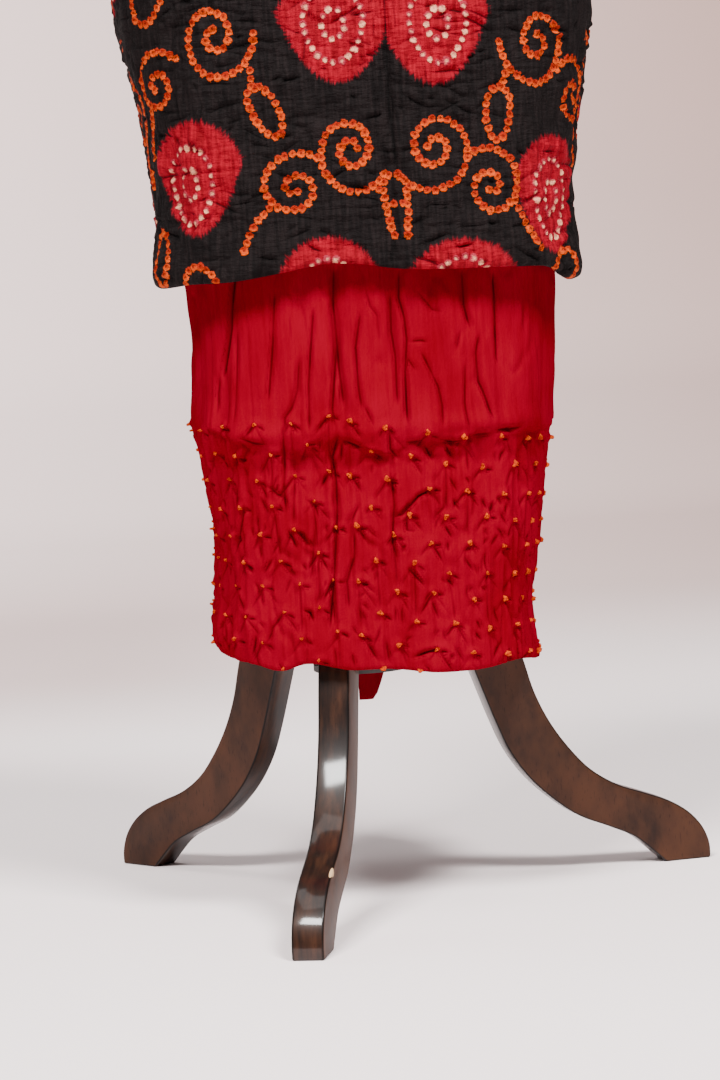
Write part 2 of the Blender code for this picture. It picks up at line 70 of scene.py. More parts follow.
LOWER_SECTIONS = rows_of(Section, [
    (0.165, 0.1030, 0.1300, 0.130, 0.136, 3.6, 3.4),
    (0.190, 0.1050, 0.1290, 0.129, 0.135, 3.6, 3.4),
    (0.206, 0.1090, 0.1270, 0.128, 0.134, 3.6, 3.4),
    (0.232, 0.1055, 0.1290, 0.126, 0.131, 3.5, 3.3),
    (0.255, 0.1045, 0.1330, 0.125, 0.128, 3.5, 3.2),
    (0.290, 0.1055, 0.1380, 0.123, 0.123, 3.5, 3.0),
    (0.324, 0.1105, 0.1440, 0.121, 0.115, 3.4, 2.8),
    (0.338, 0.1130, 0.1465, 0.123, 0.112, 3.4, 2.7),
    (0.352, 0.1155, 0.1485, 0.126, 0.111, 3.4, 2.6),
    (0.380, 0.1140, 0.1520, 0.124, 0.110, 3.4, 2.6),
    (0.415, 0.1125, 0.1545, 0.122, 0.110, 3.4, 2.6),
    (0.455, 0.1145, 0.1565, 0.121, 0.111, 3.4, 2.6),
    (0.530, 0.1265, 0.1615, 0.121, 0.114, 3.2, 2.5),
])

UPPER_SECTIONS = rows_of(Section, [
    (0.440, 0.1350, 0.1725, 0.138, 0.134, 3.9, 2.6),
    (0.470, 0.1365, 0.1740, 0.138, 0.134, 3.9, 2.6),
    (0.498, 0.1345, 0.1715, 0.136, 0.133, 3.8, 2.6),
    (0.557, 0.1377, 0.1775, 0.134, 0.131, 3.7, 2.6),
    (0.613, 0.1483, 0.1880, 0.134, 0.132, 3.5, 2.5),
    (0.668, 0.1580, 0.1945, 0.133, 0.134, 3.3, 2.5),
    (0.700, 0.1595, 0.1955, 0.131, 0.134, 3.1, 2.5),
    (0.760, 0.1470, 0.1800, 0.122, 0.122, 2.8, 2.4),
    (0.820, 0.1250, 0.1530, 0.108, 0.102, 2.5, 2.3),
    (0.856, 0.1165, 0.1415, 0.101, 0.093, 2.4, 2.2),
])

# Main creases run down from the top: where they start and end along the cloth, how deep and how wide
LOWER_CREASES = rows_of(Crease, [
    (-0.215, -0.205, 0.46, 0.22, 0.0024, 0.014),
    (-0.158, -0.166, 0.46, 0.22, 0.0026, 0.012),
    (-0.122, -0.128, 0.46, 0.33, 0.0018, 0.008),
    (-0.078, -0.100, 0.46, 0.34, 0.0040, 0.007),
    (-0.048, -0.051, 0.46, 0.35, 0.0020, 0.006),
    (-0.028, -0.041, 0.46, 0.34, 0.0024, 0.006),
    (-0.004, -0.007, 0.46, 0.33, 0.0044, 0.007),
    (0.012, 0.009, 0.45, 0.36, 0.0014, 0.005),
    (0.032, 0.038, 0.46, 0.34, 0.0024, 0.006),
    (0.051, 0.049, 0.44, 0.35, 0.0016, 0.005),
    (0.062, 0.070, 0.46, 0.34, 0.0028, 0.006),
    (0.083, 0.093, 0.46, 0.34, 0.0028, 0.006),
    (0.109, 0.111, 0.46, 0.34, 0.0020, 0.006),
    (0.160, 0.150, 0.46, 0.22, 0.0026, 0.012),
    (0.205, 0.214, 0.46, 0.24, 0.0022, 0.014),
    (0.285, 0.265, 0.46, 0.20, 0.0030, 0.018),
    (0.352, 0.345, 0.46, 0.20, 0.0026, 0.018),
    (-0.280, -0.268, 0.46, 0.22, 0.0030, 0.018),
    (-0.352, -0.348, 0.46, 0.22, 0.0026, 0.018),
])

UPPER_CREASES = rows_of(Crease, [
    (0.040, 0.037, 0.80, 0.455, 0.0036, 0.007),
    (-0.108, -0.126, 0.70, 0.455, 0.0026, 0.012),
    (-0.046, -0.054, 0.62, 0.455, 0.0014, 0.012),
    (0.098, 0.092, 0.60, 0.455, 0.0014, 0.012),
    (0.156, 0.168, 0.70, 0.455, 0.0028, 0.012),
    (-0.205, -0.195, 0.80, 0.455, 0.0030, 0.016),
    (0.245, 0.232, 0.80, 0.455, 0.0030, 0.016),
    (-0.290, -0.275, 0.80, 0.455, 0.0032, 0.018),
    (0.325, 0.305, 0.80, 0.455, 0.0032, 0.018),
    (-0.372, -0.352, 0.80, 0.455, 0.0028, 0.018),
    (0.405, 0.372, 0.80, 0.455, 0.0028, 0.018),
])

LOWER_BULGES = rows_of(Bulge, [
    (-0.040, 0.349, 0.0024, 0.060, 0.007),
    (0.090, 0.351, 0.0024, 0.050, 0.007),
    (-0.060, 0.326, -0.0020, 0.060, 0.008),
    (0.080, 0.328, -0.0018, 0.060, 0.008),
    (-0.125, 0.203, 0.0020, 0.025, 0.012),
])

UPPER_BULGES = rows_of(Bulge, [
    (-0.142, 0.468, 0.0040, 0.024, 0.014),
    (0.182, 0.462, 0.0045, 0.022, 0.014),
    (0.052, 0.472, 0.0020, 0.012, 0.010),
])

LOWER_HEMS = rows_of(Hem, [
    (-0.430, 0.1720), (-0.370, 0.1850), (-0.315, 0.2030), (-0.255, 0.2060), (-0.200, 0.2030), (-0.150, 0.1945),
    (-0.110, 0.1895), (-0.083, 0.1870), (-0.056, 0.1825), (-0.044, 0.1860), (-0.007, 0.1805), (0.018, 0.1800),
    (0.054, 0.1755), (0.090, 0.1755), (0.121, 0.1785), (0.150, 0.1760), (0.205, 0.1695), (0.300, 0.1705),
    (0.430, 0.1700),
])

UPPER_HEMS = rows_of(Hem, [
    (-0.430, 0.4660), (-0.250, 0.4650), (-0.190, 0.4610), (-0.152, 0.4568), (-0.110, 0.4590), (-0.077, 0.4595),
    (-0.041, 0.4640), (-0.012, 0.4680), (0.006, 0.4680), (0.038, 0.4630), (0.125, 0.4595), (0.152, 0.4580),
    (0.180, 0.4480), (0.202, 0.4490), (0.245, 0.4600), (0.430, 0.4660),
])

# Sharp folds within the main creases and loose ones, all in millimetres: depth, width, and their places
# along the cloth and up, as the photo shows them. It leans, by this much round these places.
LOWER_LEAN = Lean(-60, 460, 0.062, 0.078)
UPPER_LEAN = Lean(60, 640, 0.055, 0.055)
LOWER_FOLDS = rows_of(Fold, [
    (3.6, 2.0, [(-78, 466), (-81, 446), (-83, 424), (-88, 400), (-90, 387)]),
    (1.8, 2.0, [(-92, 392), (-95, 377), (-95, 361)]),
    (1.4, 2.2, [(-76, 424), (-76, 388), (-78, 354)]),
    (2.2, 2.2, [(-48, 452), (-49, 416), (-51, 387), (-52, 372)]),
    (1.1, 1.8, [(-37, 436), (-35, 416)]),
    (2.0, 2.0, [(-30, 405), (-31, 383), (-35, 370), (-40, 363), (-40, 351)]),
    (2.4, 2.0, [(-20, 440), (-22, 407), (-23, 387), (-22, 353)]),
    (4.4, 2.3, [(-6, 470), (-6, 443), (-4, 426), (-2, 401), (0, 387), (2, 371)]),
    (2.6, 2.0, [(-3, 418), (-5, 388), (-6, 370), (-3, 356)]),
    (2.2, 2.0, [(13, 438), (10, 414), (12, 387), (15, 368)]),
    (1.4, 1.8, [(17, 455), (20, 443), (25, 437), (27, 416)]),
    (2.8, 2.1, [(34, 452), (35, 426), (38, 408), (39, 387), (40, 372)]),
    (3.4, 2.1, [(40, 470), (40, 450), (44, 436), (46, 420), (45, 398), (46, 377), (47, 359)]),
    (1.8, 1.5, [(48, 419), (55, 420), (63, 419)]),
    (1.4, 1.6, [(46, 408), (53, 398)]),
    (2.2, 2.0, [(56, 412), (62, 401), (69, 387), (72, 374), (72, 358)]),
    (1.3, 2.0, [(54, 454), (64, 442), (74, 440)]),
    (3.4, 2.1, [(85, 471), (87, 446), (92, 427)]),
    (1.6, 1.8, [(84, 428), (81, 412)]),
    (2.4, 2.0, [(98, 426), (96, 412), (98, 392), (103, 381), (110, 363)]),
    (2.2, 2.0, [(88, 404), (88, 377), (91, 356)]),
    (2.8, 2.0, [(109, 470), (111, 436), (112, 409), (114, 402)]),
    (1.2, 2.2, [(134, 452), (134, 424)]),
    (1.4, 1.8, [(16, 374), (24, 358)]),
    (3.6, 2.0, [(-2, 352), (-6, 336), (-3, 320), (-2, 298), (-3, 277), (-4, 254), (-6, 225), (-7, 213)]),
    (2.0, 1.8, [(1, 349), (0, 331)]),
    (2.2, 1.8, [(-41, 358), (-40, 324), (-40, 308), (-38, 293)]),
    (3.4, 2.0, [(-71, 301), (-77, 282), (-83, 262)]),
    (3.2, 2.0, [(-49, 263), (-57, 250)]),
    (2.2, 1.8, [(-59, 284), (-64, 268)]),
    (2.4, 1.8, [(-37, 284), (-30, 270)]),
    (2.4, 1.8, [(-24, 306), (-18, 302), (-15, 292)]),
    (1.9, 1.8, [(-18, 284), (-20, 254), (-22, 247)]),
    (2.2, 1.8, [(13, 303), (7, 289)]),
    (2.0, 1.8, [(10, 286), (10, 266), (5, 248), (7, 227)]),
    (2.8, 1.7, [(-26, 228), (-21, 226), (-18, 219)]),
    (2.4, 1.8, [(-73, 218), (-66, 223)]),
    (2.2, 1.8, [(-79, 312), (-80, 296)]),
    (2.6, 1.9, [(-77, 339), (-82, 320)]),
    (2.2, 1.8, [(-61, 209), (-66, 190)]),
    (3.2, 1.9, [(34, 358), (35, 343), (43, 334)]),
    (2.6, 1.9, [(36, 324), (38, 303), (37, 277), (41, 262)]),
    (3.0, 1.8, [(37, 295), (44, 297), (55, 310), (62, 314), (68, 308)]),
    (2.8, 1.8, [(59, 347), (66, 334)]),
    (2.6, 1.8, [(74, 347), (81, 336)]),
    (2.0, 1.8, [(77, 324), (84, 312)]),
    (2.6, 1.8, [(102, 309), (107, 301)]),
    (2.4, 1.8, [(74, 290), (80, 280)]),
    (2.2, 1.8, [(89, 267), (97, 256)]),
    (2.6, 1.8, [(48, 259), (62, 245)]),
    (2.0, 1.8, [(47, 307), (47, 286), (56, 285)]),
    (2.0, 1.8, [(65, 237), (71, 222)]),
    (3.2, 1.8, [(51, 196), (62, 200), (69, 202), (72, 196)]),
    (2.6, 1.8, [(98, 214), (103, 208)]),
    (2.0, 1.8, [(33, 208), (35, 194), (38, 190)]),
    (2.0, 1.8, [(114, 232), (119, 218)]),
    (2.2, 1.7, [(-92, 354), (-80, 351)]),
    (3.0, 1.8, [(-72, 348), (-62, 345), (-50, 344)]),
    (2.4, 1.6, [(-24, 345), (-15, 346)]),
    (3.0, 1.8, [(1, 349), (9, 346), (17, 343)]),
    (2.6, 1.7, [(46, 348), (58, 350)]),
    (3.0, 1.7, [(70, 351), (80, 349), (89, 351)]),
    (2.6, 1.7, [(94, 354), (109, 356)]),
    (3.2, 1.9, [(111, 358), (124, 359), (135, 361)]),
])

# The edge that the plain top of the red cloth hangs over its tied part by
LOWER_LEDGE = rows_of(Hem, [
    (-150, 348), (-108, 354), (-95, 351), (-73, 346), (-58, 342), (-35, 341), (-16, 341), (-3, 351), (8, 347),
    (17, 343), (42, 344), (50, 350), (66, 352), (86, 350), (93, 355), (128, 358), (147, 359),
])

UPPER_FOLDS = rows_of(Fold, [
    (3.6, 1.9, [(40, 720), (40, 650), (41, 626), (42, 598), (44, 569), (46, 554), (48, 539), (46, 529)]),
    (1.8, 1.9, [(46, 529), (45, 509), (47, 481), (45, 462)]),
    (2.4, 1.9, [(-74, 516), (-62, 513), (-50, 514)]),
    (2.0, 1.7, [(-26, 562), (-11, 560)]),
    (2.4, 1.7, [(24, 565), (38, 570)]),
    (1.8, 1.8, [(-48, 621), (-35, 618)]),
    (1.6, 2.0, [(-53, 660), (-52, 624)]),
    (1.8, 1.8, [(20, 601), (30, 608)]),
    (1.4, 1.9, [(69, 604), (69, 580)]),
    (1.8, 1.8, [(107, 607), (118, 609)]),
    (2.0, 1.8, [(140, 514), (149, 505)]),
    (2.0, 1.9, [(-91, 489), (-78, 505)]),
    (1.6, 1.8, [(-30, 486), (-18, 495)]),
    (1.6, 1.8, [(60, 492), (74, 500)]),
    (1.6, 1.8, [(94, 574), (104, 566)]),
    (1.4, 1.9, [(10, 500), (12, 470)]),
    (1.6, 1.9, [(-66, 600), (-60, 570)]),
    (1.6, 1.8, [(118, 540), (131, 552)]),
])

LOWER_CLOTH = Cloth(
    LOWER_SECTIONS, LOWER_CREASES, LOWER_BULGES, LOWER_HEMS, LOWER_FOLDS,
    top=0.520, turned=0.034, lap_right=0.018, lap_left=0.0275, tail=0.046,
)
UPPER_CLOTH = Cloth(
    UPPER_SECTIONS, UPPER_CREASES, UPPER_BULGES, UPPER_HEMS, UPPER_FOLDS,
    top=0.856, turned=0.028, lap_right=0.020, lap_left=0.030, tail=0.0,
)
LOWER_GRID = Grid(
    front_left=-0.140, front_right=0.175, fine=0.0012, coarse=0.0036,
    low_z=0.165, high_z=0.465, fine_rows=0.0016, coarse_rows=0.006,
)
UPPER_GRID = Grid(
    front_left=-0.190, front_right=0.235, fine=0.0015, coarse=0.0045,
    low_z=0.440, high_z=0.675, fine_rows=0.0015, coarse_rows=0.004,
)

# Uneven ripples: their depth, what is added to it where the cloth is tied, and their sizes along and up
LOWER_RIPPLES = rows_of(Ripple, [
    (0.0003, 0.0006, 0.0036, 0.020, 21.0),
    (0.0004, 0.0008, 0.0075, 0.034, 22.0),
    (0.0007, 0.0, 0.017, 0.022, 23.0),
])
UPPER_RIPPLES = rows_of(Ripple, [
    (0.0008, 0.0, 0.0062, 0.030, 1.0),
    (0.0005, 0.0, 0.0036, 0.016, 2.0),
    (0.0013, 0.0, 0.021, 0.013, 3.0),
])

HEM_LEVEL = 0.020
FOLD_RADIUS = 0.0036
FOLD_ROWS = 7
BEHIND_ROWS = 8
LAP_STANDOFF = 0.0092
LAP_RAMP = 0.090
TAIL_WIDTH = 0.022
TAIL_SHIFT = 1.45
CREASE_FADE = 0.030
CREASE_LIP = 0.25
CREASE_LIP_SPREAD = 0.15
RING_SAMPLES = 1440
FACING_REACH = 0.0015
HULL_LEVELS = 240
HULL_BELOW = 0.06
HULL_ABOVE = 0.01
FIRST_ROW = 0.002
SHEET_INSET = 0.0003
FOLD_STRENGTH = 1.5
FOLD_REACH = 6.0
FOLD_END = 0.011
# How far from a fold's bottom its painted shade reaches
FOLD_LINE = 0.0012
FORM_BOTTOM = 0.348
CLOSE_BEHIND = 0.0034
FREE_BEHIND = 0.0090
BEHIND_CALM = 0.85

# The ledge's lip over its hollow
LEDGE_LIP = 0.0028
LEDGE_HOLLOW = 0.0024
LEDGE_STEP = 0.0016
LEDGE_LEFT = -0.104

# Tied pattern of the black cloth, in millimetres along the cloth and up
MIRROR = 40.4
PATTERN_STEP = 5.6
PALE_STEP = 6.2
REPEAT_UP = 185.0
REPEAT_ALONG = 362.0
RAISED_LEAVES = 2
RAISED_DISCS = 4
SCROLLS = rows_of(Scroll, [
    (11.0, 547, -35, -1.87, 32, 6.0, 1.6, 0.87, 1.0),
    (70.5, 546, 215, 1.87, 33, 6.0, 1.6, 0.95, 1.0),
    (-29.5, 523, 53, 1.70, 28, 3.5, 1.35, 0.98, 0.90),
    (109.5, 517, 127, -1.70, 29, 3.5, 1.35, 0.90, 0.97),
    (-81, 631, 2, -1.75, 33, 5.0, 1.5, 0.88, 1.04),
    (151, 616, 178, 1.75, 33, 5.0, 1.5, 0.92, 1.05),
    (-131, 600, 43, 1.55, 26, 4.0, 1.35, 1.0, 1.0),
    (188, 578, 137, -1.55, 26, 4.0, 1.35, 0.95, 1.1),
])
STEMS = rows_of(Stem, [
    (37, 528, 30, 519, 0), (33, 518, 38.5, 486, 1), (43, 529, 51, 520, 0), (49, 518, 47.5, 486, -1),
    (39, 508, 46, 508, 0), (-48, 510, -68, 481, 2), (128, 506, 146, 472, 2), (-56, 606, -54, 594, 1),
    (127, 598, 121, 585, 1), (-141, 582, -148, 550, 1), (196, 560, 204, 530, 1),
])
LEAVES = rows_of(Leaf, [
    (-47, 577, 18, 39, 26), (117, 567, 18, 38, -6), (-134, 665, 30, 46, -20), (-141, 477, 16, 40, 4),
    (-101, 451, 27, 42, 14), (172, 456, 26, 24, 60),
])
DISCS = rows_of(Disc, [
    (5.6, 633, 36, 39, -2.0, 1.0), (73.6, 629, 35, 40, 3.2, 2.0), (-103, 533, 33, 41, -4.0, -4.5),
    (161, 509, 30, 42, 0.0, -3.0), (-9, 448, 31, 40, 0.0, -2.0), (86, 442, 36, 40, 0.0, 0.0),
])

# Knots of the red cloth, in millimetres
KNOT_MIRROR = -8.0
KNOT_PITCH = 27.0
KNOT_ROW = 19.1
KNOT_ROWS = 10
KNOT_TOP = 361.0
KNOT_FIRST = (7.5, 21.0)
KNOTS_A_SIDE = 17
KNOT_WOBBLE = 4.0
KNOT_REACH = 0.02
NO_KNOT = (9.0, 9.0, 0.002, 0.0)

LEG_THICKNESS = 0.0226
LEG_EDGE = 0.0016
LEG_DIRECTIONS = {"front": -100.6, "right": 14.5, "left": 136.8}
COLUMN_FLAT = 0.0225
GAP = 0.0003
LEG_OUTER = rows_of(Point, [
    (0.2620, 0.000), (0.2622, 0.008), (0.2580, 0.022), (0.2490, 0.034), (0.2340, 0.045), (0.2130, 0.054),
    (0.1900, 0.063), (0.1695, 0.0765), (0.1533, 0.0945), (0.1392, 0.1155), (0.1288, 0.138), (0.1215, 0.163),
    (0.1135, 0.188), (0.1040, 0.213), (0.0910, 0.238), (0.0735, 0.258), (0.0530, 0.271), (0.0360, 0.277),
])
LEG_INNER = rows_of(Point, [
    (0.0360, 0.229), (0.0490, 0.224), (0.0620, 0.211), (0.0720, 0.191), (0.0795, 0.168), (0.0882, 0.143),
    (0.0973, 0.118), (0.1070, 0.0955), (0.1215, 0.074), (0.1390, 0.0565), (0.1597, 0.0413), (0.1830, 0.0310),
    (0.2038, 0.0206), (0.2155, 0.0105), (0.2265, 0.000),
])

# A chip of bare wood on the front leg
CHIP = Point(0.2165, 0.0518)

# Studio
CAMERA_PLACE = (-0.0265, -2.7086, 0.503)
CAMERA_DOWN = 5.02
CAMERA_ROLL = -3.16
CAMERA_LENS = 123.9
SENSOR = 36.0
WORLD_COLOUR = (0.84, 0.80, 0.79, 1.0)
WORLD_STRENGTH = 0.11
STAGE_SIDE = 7.0
STAGE_ROWS = 120
STAGE_PROFILE = [(-6.0, 0.0), (2.2, 0.0), (2.8, 0.05), (3.25, 0.25), (3.5, 0.6), (3.6, 0.91)]
LAMPS = rows_of(Lamp, [
    ("left", (-1.01, -2.26, 3.30), (-0.03, 0.0, 0.35), 1.2, 0.8, 262.0, (1.0, 0.985, 0.97)),
    ("right", (1.28, -1.91, 3.25), (-0.03, 0.0, 0.35), 0.9, 0.8, 236.0, (1.0, 0.985, 0.97)),
    ("top", (0.0, 0.1, 2.6), (0.0, 0.0, 0.0), 1.8, 1.6, 25.0, (1.0, 0.985, 0.98)),
    ("wall", (-2.4, 2.1, 2.6), (-1.9, 3.6, 1.1), 1.8, 1.0, 140.0, (1.0, 0.98, 0.975)),
])


# Curves and noise

def curve(places, values, slopes, at):
    """A smooth curve through a table's values, with these slopes in its rows."""
    row = np.clip(np.searchsorted(places, at) - 1, 0, len(places) - 2)
    span = places[row + 1] - places[row]
    part = (at - places[row]) / span
    rise = part * part * (3.0 - 2.0 * part)
    start = part * (1.0 - part) ** 2 * span * slopes[row]
    end = part * part * (part - 1.0) * span * slopes[row + 1]
    return values[row] * (1.0 - rise) + values[row + 1] * rise + start + end


def through(places, values, at):
    """A smooth curve through a table's rows, flat beyond its ends."""
    places = np.asarray(places, float)
    values = np.asarray(values, float)
    slopes = np.gradient(values, places)
    slopes[0] = 0.0
    slopes[-1] = 0.0
    return curve(places, values, slopes, np.clip(np.asarray(at, float), places[0], places[-1]))


def run_length(x, y):
    """How far along a line of points each of them lies."""
    return np.concatenate([[0.0], np.cumsum(np.hypot(np.diff(x), np.diff(y)))])


def smooth_outline(points, steps):
    """More points along a table's curve, by arc length through its rows."""
    sides = np.array(points, float).T
    length = run_length(*sides)
    at = np.linspace(0.0, length[-1], steps)
    return np.stack([curve(length, side, np.gradient(side, length), at) for side in sides], 1)


def smooth_step(value):
    part = np.clip(value, 0.0, 1.0)
    return part * part * (3.0 - 2.0 * part)


def noise(x, y, seed):
    """Smooth uneven values from -1 to 1 over a plane."""
    left = np.floor(x)
    low = np.floor(y)
    across = smooth_step(x - left)
    up = smooth_step(y - low)

    def corner(i, j):
        mixed = np.sin((left + i) * 127.1 + (low + j) * 311.7 + seed * 74.7) * 43758.5453
        return 2.0 * (mixed - np.floor(mixed)) - 1.0

    bottom = corner(0, 0) * (1.0 - across) + corner(1, 0) * across
    top = corner(0, 1) * (1.0 - across) + corner(1, 1) * across
    return bottom * (1.0 - up) + top * up


def uneven(number, seed):
    """Fixed uneven numbers from 0 to 1, one for each of these."""
    mixed = np.sin(np.arange(number) * 12.9898 + seed * 78.233) * 43758.5453
    return mixed - np.floor(mixed)


# The cloth's shape

def section_table(cloth, levels):
    """The cloth's six section sizes at these levels."""
    heights, *sizes = zip(*cloth.sections)
    return np.array([through(heights, size, levels) for size in sizes]).T


def ring(sizes, parts):
    """Points and outward directions round a section, at these parts of its length from the front's middle."""
    left, right, front_y, back_y, front_n, back_n = sizes
    turn = np.linspace(-1.5 * math.pi, 0.5 * math.pi, RING_SAMPLES + 1)
    across = np.cos(turn)
    along = np.sin(turn)
    power = 2.0 / np.where(along < 0.0, front_n, back_n)
    x = np.where(across < 0.0, left, right) * np.sign(across) * np.abs(across) ** power
    y = np.where(along < 0.0, front_y, back_y) * np.sign(along) * np.abs(along) ** power
    length = run_length(x, y)
    whole = length[-1]
    where = np.interp(-0.5 * math.pi, turn, length) + parts * whole
    at = [np.mod(where + step, whole) for step in (0.0, FACING_REACH, -FACING_REACH)]
    px, ax, bx = (np.interp(place, length, x) for place in at)
    py, ay, by = (np.interp(place, length, y) for place in at)
    way = np.stack([ax - bx, ay - by], 1)
    way /= np.linalg.norm(way, axis=1, keepdims=True)
    return np.stack([px, py, way[:, 1], -way[:, 0]], 1), whole


class Hull:
    """The smooth outer surface that a cloth lies on, for any column at any height."""

    def __init__(self, cloth, parts):
        self.levels = np.linspace(cloth.sections[0].z - HULL_BELOW, cloth.top + HULL_ABOVE, HULL_LEVELS)
        rows = [ring(sizes, parts) for sizes in section_table(cloth, self.levels)]
        self.points = np.array([row[0] for row in rows])
        self.lengths = np.array([row[1] for row in rows])

    def at(self, column, z):
        """Place and outward direction for these columns at these heights."""
        step = self.levels[1] - self.levels[0]
        spot = np.clip((z - self.levels[0]) / step, 0.0, len(self.levels) - 1.001)
        low = spot.astype(int)
        share = (spot - low)[..., None]
        return self.points[low, column] * (1.0 - share) + self.points[low + 1, column] * share

    def length(self, z):
        return np.interp(z, self.levels, self.lengths)


def graded(low, high, fine_low, fine_high, fine, coarse):
    """Places from low to high, close together within the fine stretch."""
    before = np.linspace(low, fine_low, max(2, int((fine_low - low) / coarse)))[:-1]
    within = np.linspace(fine_low, fine_high, int((fine_high - fine_low) / fine))
    after = np.linspace(fine_high, high, max(2, int((high - fine_high) / coarse)))[1:]
    return np.concatenate([before, within, after])


def relief(cloth, s, z):
    """How far the cloth stands out of its smooth section, from its creases and bulges."""
    out = np.zeros_like(s)
    for crease in cloth.creases:
        down = np.clip((crease.top_z - z) / (crease.top_z - crease.low_z), 0.0, 1.0)
        middle = crease.top_s + (crease.low_s - crease.top_s) * down
        fade = smooth_step((crease.top_z - z) / CREASE_FADE + 1.0)
        fade *= smooth_step((z - crease.low_z) / CREASE_FADE + 1.0)
        near = (s - middle) / crease.width
        lip = CREASE_LIP * np.exp(-CREASE_LIP_SPREAD * near * near)
        out -= crease.depth * fade * (np.exp(-near * near) - lip)
    for bulge in cloth.bulges:
        near = ((s - bulge.s) / bulge.reach_s) ** 2 + ((z - bulge.z) / bulge.reach_z) ** 2
        out += bulge.out * np.exp(-near)
    return out


def straightened(places, lean):
    """Places charted from the leaning photo, turned upright."""
    s, z = np.array(places, float).T
    return np.stack([s + lean.along * (z - lean.z), z - lean.up * (s - lean.s)], 1)


def rippled(ripples, tied, net):
    return sum((row.depth + row.tied * tied) * noise(net.u / row.along, net.v / row.up, row.seed) for row in ripples)


def thin_lines(net, along, up, seed, thin=0.12):
    """Thin uneven lines, from 0 to 1, of these sizes along and up."""
    return np.exp(-((noise(net.u / along, net.v / up, seed) / thin) ** 2))


def ledge_relief(u, below):
    """The lip that the plain cloth hangs over its tied part by, weaker at the far left, and the hollow under it."""
    strength = 0.25 + 0.75 * smooth_step(noise(u / 0.018, 0.0 * u, 26.0) * 1.5 + 0.5)
    strength *= 1.0 - 0.9 * smooth_step((LEDGE_LEFT - u) / 0.015)
    under = smooth_step(below / LEDGE_STEP)
    lip = LEDGE_LIP * (1.0 - under) * np.exp(-((np.minimum(below, 0.0) / 0.014) ** 2))
    hollow = LEDGE_HOLLOW * under * np.exp(-((np.maximum(below, 0.0) / 0.010) ** 2))
    return strength * (lip - hollow)


def no_folds(shape):
    """For each place: how far two folds' bottoms are, signed, and how strong they are there. None yet."""
    return np.tile(np.array([0.009, 0.0, 0.009, 0.0]), (*shape, 1))


def pressed(out, lines, net, fold, side):
    """Presses a fold into a relief along its places, uneven, and shallower towards its ends. Its bottom is
    noted in lines, on one of two sides, where the materials paint shade along it."""
    points = np.array(fold.places) * MM
    width = fold.width * MM
    low = points.min(0) - FOLD_REACH * width
    high = points.max(0) + FOLD_REACH * width
    part = (net.u > low[0]) & (net.u < high[0]) & (net.v > low[1]) & (net.v < high[1])
    at_u = net.u[part]
    at_v = net.v[part]
    nearest = np.full(len(at_u), 9.0)
    turned = np.ones(len(at_u))
    place = np.zeros(len(at_u))
    run = 0.0
    for start, end in zip(points[:-1], points[1:]):
        along = end - start
        size = float(np.hypot(*along))
        du = at_u - start[0]
        dv = at_v - start[1]
        share = np.clip((du * along[0] + dv * along[1]) / size**2, 0.0, 1.0)
        off = np.hypot(du - share * along[0], dv - share * along[1])
        closer = off < nearest
        nearest = np.where(closer, off, nearest)
        turned = np.where(closer, np.sign(along[0] * dv - along[1] * du), turned)
        place = np.where(closer, run + share * size, place)
        run += size
    end_fade = min(0.45 * run, FOLD_END)
    fade = smooth_step(0.25 + place / end_fade) * smooth_step((run - place) / end_fade)
    fade *= 0.86 + 0.24 * noise(place / 0.009, 0.0 * place, points[0, 0] * 999.0)
    near = nearest / width
    profile = np.exp(-near * near) - 0.34 * np.exp(-0.13 * near * near)
    out[part] -= FOLD_STRENGTH * fold.depth * MM * fade * profile
    # How dark the painted shade along this fold's bottom is
    strength = min(1.0, fold.depth / 2.8) * fade * (1.0 - smooth_step((nearest - 0.0014) / 0.0014))
    noted = lines[part]
    dark = strength * np.exp(-((nearest / MM) ** 2))
    stronger = dark > noted[:, side + 1] * np.exp(-((noted[:, side] / MM) ** 2))
    noted[stronger, side] = (turned * nearest)[stronger]
    noted[stronger, side + 1] = strength[stronger]
    lines[part] = noted


def press_all(out, lines, net, folds):
    """Presses folds in one after another, noted on the two sides by turns."""
    for n, fold in enumerate(folds):
        pressed(out, lines, net, fold, 2 * (n % 2))


def held_off(out, z, above, deepest):
    """Keeps a relief from sinking into what lies behind the cloth above a height."""
    limit = deepest + (FREE_BEHIND - deepest) * smooth_step((above - z) / 0.020)
    return np.where(out < 0.0, -limit * np.tanh(-out / limit), out)


